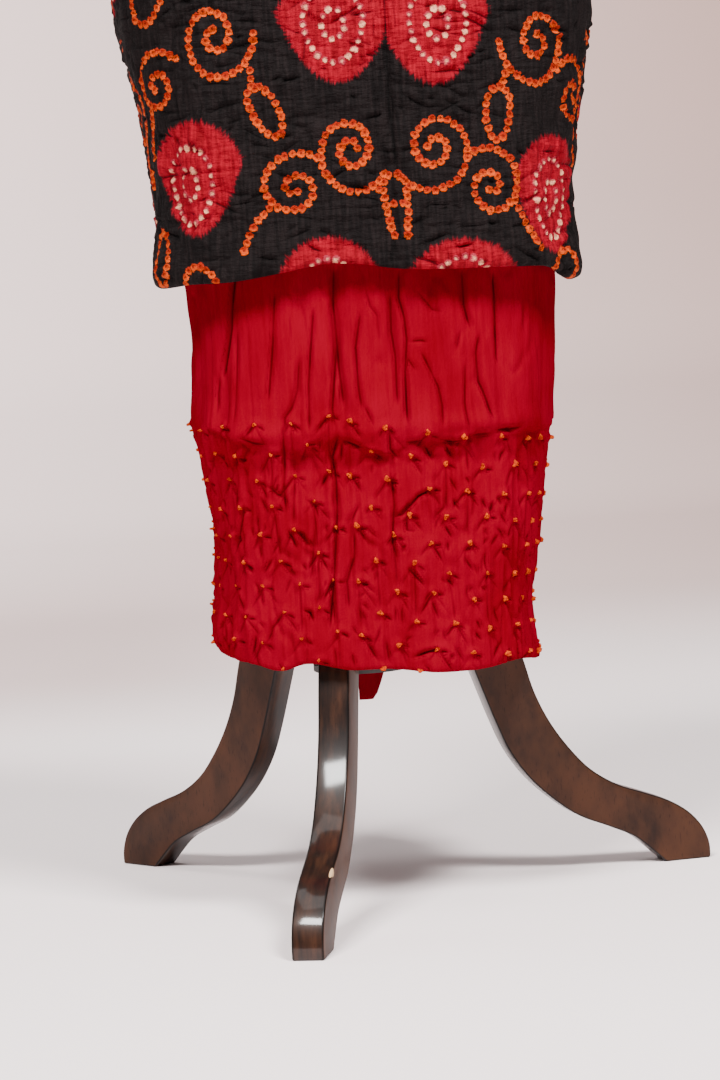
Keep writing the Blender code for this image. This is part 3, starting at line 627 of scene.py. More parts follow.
def flat_net(cloth, grid):
    """The cloth's rows and columns: its places along the cloth and down it, and where they hang."""
    middle = section_table(cloth, np.array([cloth.hems[0].z + HEM_LEVEL]))[0]
    whole = ring(middle, np.zeros(1))[1]
    half = 0.5 * whole
    s = graded(
        -half - cloth.lap_right, half + cloth.lap_left, grid.front_left, grid.front_right, grid.fine, grid.coarse
    )
    hull = Hull(cloth, s / whole)
    hem = through([row.s for row in cloth.hems], [row.z for row in cloth.hems], s)
    hem = hem - cloth.tail * smooth_step(TAIL_SHIFT - (s[-1] - s) / TAIL_WIDTH)
    lap = LAP_STANDOFF * smooth_step((s - half + LAP_RAMP) / (LAP_RAMP - cloth.lap_right))
    down = graded(grid.low_z, cloth.top, grid.low_z + FIRST_ROW, grid.high_z, grid.fine_rows, grid.coarse_rows)
    down = (cloth.top - down[::-1]) / (cloth.top - grid.low_z)
    level = 0.0 * hem
    rows = []
    for share in down:
        z = cloth.top + (hem + FOLD_RADIUS - cloth.top) * share
        rows.append((z, z, level))
    for angle in math.pi * np.arange(1, FOLD_ROWS + 1) / FOLD_ROWS:
        z = hem + FOLD_RADIUS * (1.0 - math.sin(angle))
        rows.append((z, hem + FOLD_RADIUS * (1.0 - angle), level + FOLD_RADIUS * (1.0 - math.cos(angle))))
    for rise in (cloth.turned - FOLD_RADIUS) * np.arange(1, BEHIND_ROWS + 1) / BEHIND_ROWS:
        z = hem + FOLD_RADIUS + rise
        rows.append((z, hem + FOLD_RADIUS * (1.0 - math.pi) - rise, level + 2.0 * FOLD_RADIUS))
    z, v, inset = np.array(rows).transpose(1, 0, 2).copy()
    return Net(hull, z, (s / whole) * hull.length(z), v, inset, lap)


def spot_in(net, at_u, at_v):
    """The row and column of a net nearest to a place."""
    column = int(np.argmin(np.abs(net.u[len(net.u) // 2] - at_u)))
    row = int(np.argmin(np.abs(net.v[:, column] - at_v)))
    return row, int(np.argmin(np.abs(net.u[row] - at_u)))


def away_from(net, row, column, at_u, at_v, reach):
    return abs(net.u[row, column] - at_u) > reach or abs(net.v[row, column] - at_v) > reach


def stamp(out, net, at_u, at_v, reach, peak_wide, peak, dip_wide, dip):
    """Adds a small peak in a wider dip to a relief."""
    row, column = spot_in(net, at_u, at_v)
    if away_from(net, row, column, at_u, at_v, reach):
        return
    count = int(reach / 0.0013) + 2
    part = np.s_[max(row - count, 0) : row + count + 1, max(column - count, 0) : column + count + 1]
    off = (net.u[part] - at_u) ** 2 + (net.v[part] - at_v) ** 2
    out[part] += peak * np.exp(-off / peak_wide**2) - dip * np.exp(-off / dip_wide**2)


def short_folds(count, seed, low, high, lean, swing, depth, longest):
    """Small creases strewn over a stretch of cloth, in millimetres, leaning within a swing of one angle."""
    chance = uneven(count * 6, seed).reshape(count, 6)
    folds = []
    for a, b, c, d, e, f in chance:
        s = low[0] + (high[0] - low[0]) * a
        z = low[1] + (high[1] - low[1]) * b
        angle = math.radians(lean + swing * (2.0 * c - 1.0))
        half = 3.0 + longest * d * d
        bow = 2.4 * (e - 0.5)
        ds = half * math.cos(angle)
        dz = half * math.sin(angle)
        bend = (s - bow * math.sin(angle), z + bow * math.cos(angle))
        folds.append(Fold(depth * (0.45 + 0.55 * f), 1.5 + 0.5 * e, [(s - ds, z - dz), bend, (s + ds, z + dz)]))
    return folds


# The tied pattern

def evenly(points, step):
    """Places along a line of points, a step apart."""
    length = run_length(*points.T)
    at = np.linspace(0.0, length[-1], max(1, round(length[-1] / step)) + 1)
    return np.stack([np.interp(at, length, side) for side in points.T], 1)


def scroll_points(scroll):
    share = np.linspace(0.0, 1.0, 200)
    angle = np.radians(scroll.start) + 2.0 * math.pi * scroll.turns * share
    radius = scroll.inner + (scroll.outer - scroll.inner) * (1.0 - share) ** scroll.power
    s = scroll.s + scroll.wide * radius * np.cos(angle)
    z = scroll.z + scroll.tall * radius * np.sin(angle)
    return evenly(np.stack([s, z], 1), PATTERN_STEP)


def stem_points(stem):
    share = np.linspace(0.0, 1.0, 20)
    across = np.array([stem.z2 - stem.z1, stem.s1 - stem.s2])
    across = across / np.linalg.norm(across)
    bow = stem.bend * np.sin(math.pi * share)
    s = stem.s1 + (stem.s2 - stem.s1) * share + bow * across[0]
    z = stem.z1 + (stem.z2 - stem.z1) * share + bow * across[1]
    return evenly(np.stack([s, z], 1), PATTERN_STEP)


def leaf_points(leaf):
    turn = np.linspace(0.0, 2.0 * math.pi, 120)
    s = 0.5 * leaf.wide * np.sin(turn) * (1.0 + 0.12 * np.cos(turn))
    z = 0.5 * leaf.tall * np.cos(turn)
    tilt = math.radians(leaf.tilt)
    turned_s = s * math.cos(tilt) - z * math.sin(tilt)
    turned_z = s * math.sin(tilt) + z * math.cos(tilt)
    return evenly(np.stack([leaf.s + turned_s, leaf.z + turned_z], 1), PATTERN_STEP)[:-1]


def disc_points(disc):
    """The two rows of small pale knots in a red disc: a closed drop and an open curl inside it."""
    turn = np.linspace(0.0, 2.0 * math.pi, 120)
    slim = 1.0 + 0.16 * np.sin(turn)
    outer = np.stack([0.57 * disc.wide * np.cos(turn) * slim, 0.66 * disc.tall * np.sin(turn)], 1)
    turn = np.linspace(0.35 * math.pi, 2.1 * math.pi, 90)
    inner = np.stack([0.22 * disc.wide * np.cos(turn), 0.27 * disc.tall * np.sin(turn) + 1.0], 1)
    rows = [evenly(outer, PALE_STEP)[:-1], evenly(inner, PALE_STEP)]
    return np.concatenate(rows) + np.array([disc.s + disc.curl_s, disc.z + disc.curl_z])


def pattern():
    """Every knot of the black cloth as place, size and tone, and its discs. Tones over 1 are pale."""
    raised = [scroll_points(row) for row in SCROLLS]
    raised += [stem_points(row) for row in STEMS]
    raised += [leaf_points(row) for row in LEAVES[:RAISED_LEAVES]]
    single = [leaf_points(row) for row in LEAVES[RAISED_LEAVES:]]
    up = np.array([0.0, REPEAT_UP])
    orange = np.concatenate(raised + single + [row + up for row in raised])
    discs = DISCS + [row._replace(z=row.z + REPEAT_UP) for row in DISCS[:RAISED_DISCS]]
    pale = np.concatenate([disc_points(row) for row in discs])
    shifts = [REPEAT_ALONG * k for k in (-2, -1, 0, 1)]
    orange = np.concatenate([orange + np.array([shift, 0.0]) for shift in shifts])
    pale = np.concatenate([pale + np.array([shift, 0.0]) for shift in shifts])
    discs = [row._replace(s=row.s + shift) for shift in shifts for row in discs]
    places = np.concatenate([orange, pale])
    tones = np.concatenate([uneven(len(orange), 3.0), 1.0 + uneven(len(pale), 5.0)])
    sizes = np.concatenate([2.50 + 0.55 * uneven(len(orange), 7.0), 1.95 + 0.85 * uneven(len(pale), 9.0)])
    wobble = np.stack([uneven(len(places), 11.0), uneven(len(places), 13.0)], 1) - 0.5
    return places + 0.9 * wobble, sizes, tones, discs


def knot_places():
    """The red cloth's knots: a staggered net, mirrored at one fold, and hanging lower to the right. Each one's
    number stands under its row, its side and its place from the fold."""
    places = []
    index = {}
    for k in range(KNOT_ROWS):
        for side in (-1, 1):
            for m in range(KNOTS_A_SIDE):
                off = KNOT_FIRST[k % 2] + KNOT_PITCH * m
                sag = 33.0 * (1.0 - math.exp(-off / 95.0)) if side > 0 else 7.0 * (1.0 - math.exp(-off / 80.0))
                index[k, side, m] = len(places)
                places.append((KNOT_MIRROR + side * off, KNOT_TOP - KNOT_ROW * k - sag))
    wobble = np.stack([uneven(len(places), 17.0), uneven(len(places), 19.0)], 1) - 0.5
    return np.array(places) + KNOT_WOBBLE * wobble, index


# Meshes

def grid_mesh(name, points):
    """A grid of faces with its vertices moved to these rows of points."""
    high, wide = points.shape[0] - 1, points.shape[1] - 1
    shape = bmesh.new()
    bmesh.ops.create_grid(shape, x_segments=wide, y_segments=high, size=1.0)
    mesh = bpy.data.meshes.new(name)
    shape.to_mesh(mesh)
    shape.free()
    flat = np.empty(len(mesh.vertices) * 3)
    mesh.vertices.foreach_get("co", flat)
    flat = flat.reshape(-1, 3)
    column = np.rint((flat[:, 0] + 1.0) * 0.5 * wide).astype(int)
    row = np.rint((1.0 - flat[:, 1]) * 0.5 * high).astype(int)
    mesh.vertices.foreach_set("co", points[row, column].reshape(-1))
    mesh.update()
    mesh.shade_smooth()
    return mesh, row, column


def shown(name, mesh, material, slot_name, *nodes):
    made = bpy.data.objects.new(name, mesh)
    bpy.context.scene.collection.objects.link(made)
    mesh.materials.append(material)
    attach(made, "root")
    if nodes:
        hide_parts(*nodes)
    return made


def give(mesh, name, domain, rows):
    """Four values for each vertex or face, for the material."""
    made = mesh.attributes.new(name, "FLOAT_COLOR", domain)
    made.data.foreach_set("color", rows.reshape(-1))


def give_knots(mesh, middles, places, sizes, tones, *names):
    """Gives each face the place, size and tone of its nearest knot, and of the next one for a second name."""
    values = np.column_stack([places, sizes, tones])
    tree = kdtree.KDTree(len(places))
    for i, (a, b) in enumerate(places):
        tree.insert((a, b, 0.0), i)
    tree.balance()
    rows = np.tile(np.array(NO_KNOT), (len(names), len(middles), 1))
    for i, (a, b) in enumerate(middles):
        for rank, (_, number, far) in enumerate(tree.find_n((a, b, 0.0), len(names))):
            if far < KNOT_REACH:
                rows[rank, i] = values[number]
    for name, part in zip(names, rows):
        give(mesh, name, "FACE", part)


def hung(net, out):
    """Where a net of cloth hangs, with its relief added outwards."""
    columns = np.tile(np.arange(net.z.shape[1]), (net.z.shape[0], 1))
    x, y, out_x, out_y = np.moveaxis(net.hull.at(columns, net.z), -1, 0)
    away = out - net.inset + net.lap - SHEET_INSET
    return np.stack([AXIS_X + x + out_x * away, AXIS_Y + y + out_y * away, net.z], -1)


def laid(name, cloth, net, fine, lines, above):
    """A cloth's net hung as a mesh with its relief, its flat map and its folds, with its points and the middles
    of its faces. Above a height the relief is kept off what lies behind the cloth."""
    behind = smooth_step(net.inset / (2.0 * FOLD_RADIUS))
    out = relief(cloth, net.u, np.maximum(net.v, net.z.min(0)))
    out += held_off(fine, net.z, above, CLOSE_BEHIND) * (1.0 - BEHIND_CALM * behind)
    points = hung(net, out)
    mesh, row, column = grid_mesh(name, points)
    corner = np.empty(len(mesh.loops), int)
    mesh.loops.foreach_get("vertex_index", corner)
    flat = np.stack([net.u[row, column], net.v[row, column]], 1)[corner]
    mesh.uv_layers.new(name="flat").data.foreach_set("uv", flat.reshape(-1))
    # The folds' bottoms, for the painted shade and the bump dents in the materials
    give(mesh, "folds", "POINT", lines[row, column])
    return mesh, points, flat.reshape(-1, 4, 2).mean(1)


def make_upper(material):
    net = flat_net(UPPER_CLOTH, UPPER_GRID)
    places, sizes, tones, discs = pattern()
    places = places * MM
    sizes = sizes * MM
    fine = rippled(UPPER_RIPPLES, 0.0, net)
    patches = smooth_step(noise(net.u / 0.030, net.v / 0.030, 5.0) * 1.6 + 0.2)
    fine -= 0.0026 * patches * thin_lines(net, 0.024, 0.0075, 4.0, 0.14)
    fine -= 0.0014 * thin_lines(net, 0.0085, 0.045, 6.0)
    lines = no_folds(fine.shape)
    folds = [fold._replace(places=straightened(fold.places, UPPER_LEAN)) for fold in UPPER_FOLDS]
    folds += short_folds(520, 41.0, (-400, 450), (400, 690), 0.0, 34.0, 3.4, 13.0)
    folds += short_folds(180, 43.0, (-400, 450), (400, 690), 90.0, 16.0, 2.4, 13.0)
    press_all(fine, lines, net, folds)
    for (a, b), size in zip(places, sizes):
        stamp(fine, net, a, b, 0.009, size * 0.75, 0.0015, size * 2.1, 0.0009)
    for disc in discs:
        du = (net.u - disc.s * MM) / (disc.wide * MM)
        dv = (net.v - disc.z * MM) / (disc.tall * MM)
        radius = np.hypot(du, dv)
        pleats = noise(np.arctan2(dv, du) * 9.0, radius * 1.5, 8.0)
        fine += 0.0011 * pleats * np.exp(-(((radius - 0.85) / 0.35) ** 2))
    mesh, _, middles = laid("black_cloth", UPPER_CLOTH, net, fine, lines, 0.0)
    give_knots(mesh, middles, places, sizes, tones, "knot_a", "knot_b")
    areas = np.array([(disc.s, disc.z, disc.wide, disc.tall) for disc in discs]) * MM
    off = (middles[:, None] - areas[None, :, :2]) / areas[None, :, 2:]
    give(mesh, "disc", "FACE", areas[np.argmin(np.hypot(off[..., 0], off[..., 1]), 1)])
    return shown("black_cloth", mesh, material, "black_bandhani", "upper_cloth")


def tied_down(fine, lines, net, knots, index):
    """Folds that run from knot to knot, and each knot's own peak with a tuck beside it."""
    chance = uneven(len(knots) * 8, 27.0).reshape(-1, 8)
    for (k, side, m), i in index.items():
        here = knots[i]
        inward = m if k % 2 else max(m - 1, 0)
        outward = m + k % 2
        for n, next_m in enumerate((inward, outward)):
            j = index.get((k + 1, side, next_m))
            if j is not None and chance[i, n] > 0.25:
                far = here + (knots[j] - here) * (0.45 + 0.5 * chance[i, 2 + n])
                pressed(fine, lines, net, Fold(0.5 + 1.9 * chance[i, n] ** 2, 1.7, [here, far]), 2 * n)
        under = index.get((k + 2, side, m))
        if under is not None and chance[i, 4] > 0.4:
            pressed(fine, lines, net, Fold(1.7 * chance[i, 5], 1.6, [here, knots[under]]), 0)
        stamp(fine, net, here[0] * MM, here[1] * MM, 0.012, 0.0034, 0.0026, 0.0080, 0.0011)
        tuck = here + np.array([2.0, -1.6])
        end = tuck + np.array([6.5, -5.0 + 4.5 * chance[i, 6]])
        pressed(fine, lines, net, Fold(2.2, 1.5, [tuck, end]), 2)


def make_lower(material, knot_material):
    net = flat_net(LOWER_CLOTH, LOWER_GRID)
    knots, index = knot_places()
    rim = straightened(LOWER_LEDGE, LOWER_LEAN) * MM
    below = through(rim[:, 0], rim[:, 1], net.u) + 0.0016 * noise(net.u / 0.006, 0.0 * net.u, 25.0) - net.v
    tied = smooth_step(below / 0.012)
    fine = rippled(LOWER_RIPPLES, tied, net)
    fine -= (0.0010 + 0.0008 * tied) * thin_lines(net, 0.0110, 0.060, 24.0)
    fine += ledge_relief(net.u, below)
    lines = no_folds(fine.shape)
    press_all(fine, lines, net, [row._replace(places=straightened(row.places, LOWER_LEAN)) for row in LOWER_FOLDS])
    tied_down(fine, lines, net, knots, index)
    press_all(fine, lines, net, short_folds(520, 45.0, (-400, 168), (400, 345), 90.0, 52.0, 2.0, 7.0))
    mesh, points, middles = laid("red_cloth", LOWER_CLOTH, net, fine, lines, FORM_BOTTOM)
    sides = np.array([side for _, side, _ in index])
    sizes = np.where(sides > 0, 0.0012, 0.0007) + 0.0004 * uneven(len(knots), 28.0)
    knots = knots * MM
    give_knots(mesh, middles, knots, sizes, uneven(len(knots), 29.0), "knot_a")
    cloth = shown("red_cloth", mesh, material, "red_bandhani", "lower_cloth")
    return cloth, make_tufts(points, net, knots, sizes, knot_material)


TUFT_SIDES = 12
TUFT_REACH = 0.004
TUFT_PROFILE = rows_of(Point, [
    (1.30, -0.0012), (1.05, 0.0001), (0.95, 0.0011), (0.72, 0.0022), (0.42, 0.0020), (0.18, 0.0008),
    (0.02, 0.0002),
])


def make_tufts(points, net, knots, sizes, material):
    """The tied tips of the red cloth: small puckered rings with a hole in the middle, standing on its folds."""
    chance = uneven(len(knots) * 4, 31.0).reshape(-1, 4)
    turn = np.linspace(0.0, 2.0 * math.pi, TUFT_SIDES + 1)
    rows = []
    for i, (a, b) in enumerate(knots):
        row, column = spot_in(net, a, b)
        hidden = net.inset[row, column] > FOLD_RADIUS or not 2 < column < net.u.shape[1] - 3
        if hidden or away_from(net, row, column, a, b, TUFT_REACH):
            continue
        place = points[row, column]
        across = points[row, column + 2] - points[row, column - 2]
        upward = points[row - 2, column] - points[row + 2, column]
        across /= np.linalg.norm(across)
        outward = np.cross(across, upward)
        outward /= np.linalg.norm(outward)
        upward = np.cross(outward, across)
        lobes = 1.0 + 0.30 * np.cos(3.0 * turn + 6.0 * chance[i, 0])
        lobes += 0.26 * np.cos(2.0 * turn + 5.0 * chance[i, 1])
        for k, (share, height) in enumerate(TUFT_PROFILE):
            radius = sizes[i] * share * lobes
            lift = (height + 0.0005 * np.cos(3.0 * turn + k)) * (0.45 + 0.5 * chance[i, 2])
            ways = np.stack([radius * np.cos(turn), radius * np.sin(turn), lift], 1)
            rows.append(place + ways @ np.stack([across, upward, outward]))
    count = len(TUFT_PROFILE)
    mesh, row, column = grid_mesh("red_cloth_knots", np.array(rows))
    shape = bmesh.new()
    shape.from_mesh(mesh)
    order = {vertex.index: (r, c) for vertex, r, c in zip(mesh.vertices, row, column)}
    between = []
    for face in shape.faces:
        levels = {order[vertex.index][0] for vertex in face.verts}
        if min(levels) % count == count - 1:
            between.append(face)
    bmesh.ops.delete(shape, geom=between, context="FACES")
    bmesh.ops.remove_doubles(shape, verts=shape.verts, dist=0.00001)
    bmesh.ops.recalc_face_normals(shape, faces=shape.faces)
    shape.to_mesh(mesh)
    shape.free()
    mesh.shade_smooth()
    return shown("red_cloth_knots", mesh, material, "red_bandhani")


# Shader sockets as Python values

def sign(operation):
    """A sign's method and its reflected one, as Math nodes."""
    return (
        lambda self, other: self.math(operation, self, other),
        lambda self, other: self.math(operation, other, self),
    )


class Wire:
    """A socket in a shader. The usual signs on it add Math nodes, and node() adds any other node."""

    def __init__(self, tree, socket=None):
        self.tree = tree
        self.socket = socket

    def node(self, kind, settings, values, output=0):
        made = self.tree.nodes.new(kind)
        for name, value in settings.items():
            setattr(made, name, value)
        for name, value in values.items():
            if isinstance(value, Wire):
                self.tree.links.new(value.socket, made.inputs[name])
            else:
                made.inputs[name].default_value = value
        return Wire(self.tree, made.outputs[output])

    def other(self, output):
        """Another output of the node that this socket is on."""
        return Wire(self.tree, self.socket.node.outputs[output])

    def math(self, operation, *values):
        return self.node("ShaderNodeMath", {"operation": operation}, dict(enumerate(values)))

    __add__, __radd__ = sign("ADD")
    __sub__, __rsub__ = sign("SUBTRACT")
    __mul__, __rmul__ = sign("MULTIPLY")
    __truediv__, __rtruediv__ = sign("DIVIDE")
    __pow__, __rpow__ = sign("POWER")

    def least(self, other):
        return self.math("MINIMUM", self, other)

    def most(self, other):
        return self.math("MAXIMUM", self, other)

    def above(self, other):
        return self.math("GREATER_THAN", self, other)

    def size(self):
        return self.math("ABSOLUTE", self)

    def ramp(self, low, high, start=0.0, end=1.0):
        """Runs smoothly from start to end as this value goes from low to high."""
        values = {"Value": self, "From Min": low, "From Max": high, "To Min": start, "To Max": end}
        return self.node("ShaderNodeMapRange", {"interpolation_type": "SMOOTHSTEP"}, values)

    def blend(self, low, high):
        """Two colours mixed by this value."""
        values = {"Factor": self, 6: low, 7: high}
        return self.node("ShaderNodeMix", {"data_type": "RGBA"}, values, 2)

    def scaled(self, sizes):
        """A vector with its parts multiplied."""
        return self.node("ShaderNodeVectorMath", {"operation": "MULTIPLY"}, {0: self, 1: sizes})

    def places(self):
        return self.node("ShaderNodeTexCoord", {}, {}, "Object")

    def flat(self):
        return self.node("ShaderNodeUVMap", {"uv_map": "flat"}, {})

    def parts(self):
        made = self.node("ShaderNodeSeparateXYZ", {}, {"Vector": self})
        return made, made.other(1), made.other(2)

    def attribute(self, name):
        """The four values that a face or vertex was given."""
        made = self.node("ShaderNodeAttribute", {"attribute_name": name}, {}, "Color")
        return *made.parts(), made.other("Alpha")

    def grain(self, at, sizes, detail=2.0, roughness=0.5):
        """Noise from 0 to 1 over places, stretched by sizes."""
        values = {"Vector": at.scaled(sizes), "Scale": 1.0, "Detail": detail, "Roughness": roughness}
        return self.node("ShaderNodeTexNoise", {}, values)

    def joined(self, x, y, z=0.0):
        return self.node("ShaderNodeCombineXYZ", {}, {"X": x, "Y": y, "Z": z})

    def bump(self, height, strength=1.0):
        """A bump from heights in metres."""
        return self.node("ShaderNodeBump", {}, {"Height": height, "Distance": 1.0, "Strength": strength})


BLACK_LOW = (0.0026, 0.0016, 0.0017, 1.0)
BLACK_HIGH = (0.0092, 0.0060, 0.0061, 1.0)
# Painted shade for the bottoms of the black cloth's folds
BLACK_CREASE_SHADE = (0.0008, 0.0005, 0.0005, 1.0)
RED_LOW = (0.136, 0.0, 0.0048, 1.0)
RED_HIGH = (0.186, 0.0, 0.0095, 1.0)
# Painted shade for the bottoms of the red cloth's folds, and of the folds within the black cloth's red discs
RED_CREASE_SHADE = (0.022, 0.0, 0.0008, 1.0)
DISC_LOW = (0.130, 0.0, 0.0040, 1.0)
DISC_HIGH = (0.265, 0.0002, 0.0115, 1.0)
ORANGE_LOW = (0.250, 0.0090, 0.0, 1.0)
ORANGE_HIGH = (0.520, 0.0560, 0.0, 1.0)
ORANGE_MIDDLE = (0.080, 0.0030, 0.0010, 1.0)
PALE_LOW = (0.260, 0.0160, 0.0330, 1.0)
PALE_HIGH = (0.680, 0.3000, 0.1750, 1.0)
PALE_MIDDLE = (0.210, 0.0060, 0.0110, 1.0)
TIP_LOW = (0.260, 0.0150, 0.0, 1.0)
TIP_HIGH = (0.520, 0.0600, 0.0, 1.0)
WOOD_LOW = (0.0070, 0.0036, 0.0028, 1.0)
WOOD_HIGH = (0.0520, 0.0188, 0.0084, 1.0)
WOOD_PORE = (0.0040, 0.0022, 0.0018, 1.0)
WOOD_EDGE = (0.0030, 0.0022, 0.0021, 1.0)
WOOD_BARE = (0.5200, 0.3400, 0.1900, 1.0)
COVER_LOW = (0.4200, 0.3700, 0.2900, 1.0)
COVER_HIGH = (0.5700, 0.5200, 0.4300, 1.0)
PAPER_FLOOR = (0.9600, 0.8500, 0.8500, 1.0)
# The backdrop wall's lit tone, and its painted shade, darker and a little warmer
PAPER_WALL_LIT = (0.8800, 0.7200, 0.7050, 1.0)
PAPER_WALL_SHADED = (0.5400, 0.3600, 0.3200, 1.0)
# A painted soft shadow on the far floor at the left
PAPER_PAINTED_SHADOW = (0.6000, 0.4500, 0.4300, 1.0)


def new_material(name, constants):
    """A material, its shader's sockets by name, and a first wire."""
    made = bpy.data.materials.new(name)
    made.use_nodes = True
    shader = made.node_tree.nodes["Principled BSDF"]
    for socket, value in constants.items():
        shader.inputs[socket].default_value = value
    return made, shader, Wire(made.node_tree)


def connect(shader, **wires):
    names = {"colour": "Base Color", "roughness": "Roughness", "normal": "Normal", "coat": "Coat Weight"}
    for key, wire in wires.items():
        wire.tree.links.new(wire.socket, shader.inputs[names[key]])


def knot_field(start, u, v, name, wobble):
    """How far a place is from a knot's middle, in its radii, with the knot's tone and its lower side."""
    at_u, at_v, size, tone = start.attribute(name)
    du = (u - at_u) / size
    dv = (v - at_v) / size
    radius = (du * du + dv * dv) ** 0.5 + wobble
    return radius, tone, dv


def woven(start, u, v, pitch):
    """The height of a plain weave of this pitch."""
    across = start.math("SINE", u * (2.0 * math.pi / pitch))
    up = start.math("SINE", v * (2.0 * math.pi / (1.15 * pitch)))
    return (across + up) * 0.00002


def in_fold(start):
    """How deep a place lies in the bottom of a fold, from 0 to 1. It is the mask that paints shade along the fold
    bottoms, and dents the bump there.
    """
    off_a, strength_a, off_b, strength_b = start.attribute("folds")
    line_a = off_a.size().ramp(0.0, FOLD_LINE, 1.0, 0.0) * strength_a
    line_b = off_b.size().ramp(0.0, FOLD_LINE, 1.0, 0.0) * strength_b
    return line_a.most(line_b)


def black_material():
    made, shader, start = new_material("black bandhani", {"Specular IOR Level": 0.08})
    flat = start.flat()
    u, v, _ = flat.parts()
    wobble = start.grain(flat, (380.0, 380.0, 1.0), 1.0) * 0.9
    wobble = wobble + start.grain(flat, (900.0, 900.0, 1.0), 1.0) * 0.5 - 0.7
    radius_a, tone_a, low_a = knot_field(start, u, v, "knot_a", wobble)
    radius_b, tone_b, low_b = knot_field(start, u, v, "knot_b", wobble)
    second = (radius_a - radius_b).above(0.0)
    radius = radius_a.least(radius_b)
    tone = tone_a + (tone_b - tone_a) * second
    low = low_a + (low_b - low_a) * second
    pale = tone.above(1.0)
    warmth = (tone - pale) * 0.5 + low * -0.42 + radius * 0.35
    warmth = warmth + start.grain(flat, (300.0, 300.0, 1.0), 3.0) * 0.6 - 0.4
    orange = warmth.ramp(0.0, 0.8).blend(ORANGE_LOW, ORANGE_HIGH)
    light = start.grain(flat, (300.0, 300.0, 1.0), 2.0) * 0.9 + (tone - 1.0) * 0.5 + low * -0.2 - radius * 0.8
    cream = light.ramp(-0.10, 0.55).blend(PALE_LOW, PALE_HIGH)
    dyed = pale.blend(orange, cream)
    core = ((radius_a - wobble) ** 2.0 + low_a * -0.30).ramp(0.01, 0.12, 1.0, 0.0)
    dark = pale.blend(ORANGE_MIDDLE, PALE_MIDDLE)
    dyed = (core * (0.85 - pale * 0.55)).blend(dyed, dark)
    tied = (radius - pale * 0.04).ramp(0.92, 1.14, 1.0, 0.0)

    disc_u, disc_v, wide, tall = start.attribute("disc")
    up = (v - disc_v) / tall
    across = (u - disc_u) / wide
    across = across * (up.ramp(-1.0, 0.1, 1.25, 1.0) - up.ramp(-0.15, 0.35, 0.0, 0.18))
    reach = (across * across + up * up) ** 0.5
    angle = start.math("ARCTAN2", up, across)
    feather = start.grain(start.joined(angle * 14.0, reach * 2.0), (1.0, 1.0, 1.0), 3.0, 0.65) * 0.30 - 0.15
    threads = start.grain(flat, (700.0, 60.0, 1.0), 2.0) * 0.16 - 0.08
    red = (reach + feather + threads).ramp(0.93, 1.03, 1.0, 0.0)
    shade = start.grain(flat, (420.0, 40.0, 1.0), 3.0)
    red_colour = shade.ramp(0.3, 0.75).blend(DISC_LOW, DISC_HIGH)
    black_colour = shade.ramp(0.3, 0.8).blend(BLACK_LOW, BLACK_HIGH)
    ground = red.blend(black_colour, red_colour)
    # Painted shade: fold bottoms are darkened towards near-black, or dark red within the red discs, less so within
    # the dots
    fold_shade_and_dent = in_fold(start)
    deep = red.blend(BLACK_CREASE_SHADE, RED_CREASE_SHADE)
    colour = (fold_shade_and_dent * (0.85 - tied * 0.55)).blend(tied.blend(ground, dyed), deep)

    crinkle = start.grain(flat, (420.0, 150.0, 1.0), 4.0, 0.6) * 0.0014 - fold_shade_and_dent * 0.0006
    crinkle = crinkle + start.grain(flat, (95.0, 260.0, 1.0), 3.0, 0.55) * 0.0032
    ring_lift = radius.ramp(0.35, 0.75) * radius.ramp(1.25, 0.8, 0.0, 1.0) * 0.0008
    normal = start.bump(woven(start, u, v, 0.00062) + crinkle + ring_lift, 0.9)
    connect(shader, colour=colour, roughness=0.82 - tied * 0.08, normal=normal)
    return made


def red_material():
    made, shader, start = new_material("red bandhani", {"Specular IOR Level": 0.0})
    flat = start.flat()
    u, v, _ = flat.parts()
    wobble = start.grain(flat, (620.0, 620.0, 1.0), 2.0) * 0.9 - 0.45
    radius, tone, low = knot_field(start, u, v, "knot_a", wobble)
    shade = start.grain(flat, (380.0, 26.0, 1.0), 4.0, 0.6)
    patch = start.grain(flat, (22.0, 16.0, 1.0), 2.0)
    ground = (shade * 0.4 + patch * 0.7).ramp(0.3, 0.8).blend(RED_LOW, RED_HIGH)
    dyed = (tone * 0.8 + low * -0.2).ramp(0.0, 1.0).blend(TIP_LOW, TIP_HIGH)
    tied = radius.ramp(0.7, 1.15, 1.0, 0.0)
    colour = (tied * 0.9).blend(ground, dyed)
    # Painted shade: fold bottoms are darkened towards a dark red
    fold_shade_and_dent = in_fold(start)
    colour = (fold_shade_and_dent * 0.85).blend(colour, RED_CREASE_SHADE)
    crinkle = start.grain(flat, (430.0, 90.0, 1.0), 4.0, 0.6) * 0.0006 - fold_shade_and_dent * 0.0006
    normal = start.bump(woven(start, u, v, 0.00060) + crinkle, 0.9)
    connect(shader, colour=colour, roughness=0.84 + shade * 0.1, normal=normal)
    return made


def knot_material():
    made, shader, start = new_material("tied tips", {"Specular IOR Level": 0.1})
    at = start.places()
    warmth = start.grain(at, (420.0, 420.0, 420.0), 2.0)
    colour = warmth.ramp(0.3, 0.7).blend(TIP_LOW, TIP_HIGH)
    normal = start.bump(start.grain(at, (1500.0, 1500.0, 1500.0), 2.0) * 0.0004, 0.8)
    connect(shader, colour=colour, roughness=0.7 + warmth * 0.2, normal=normal)
    return made


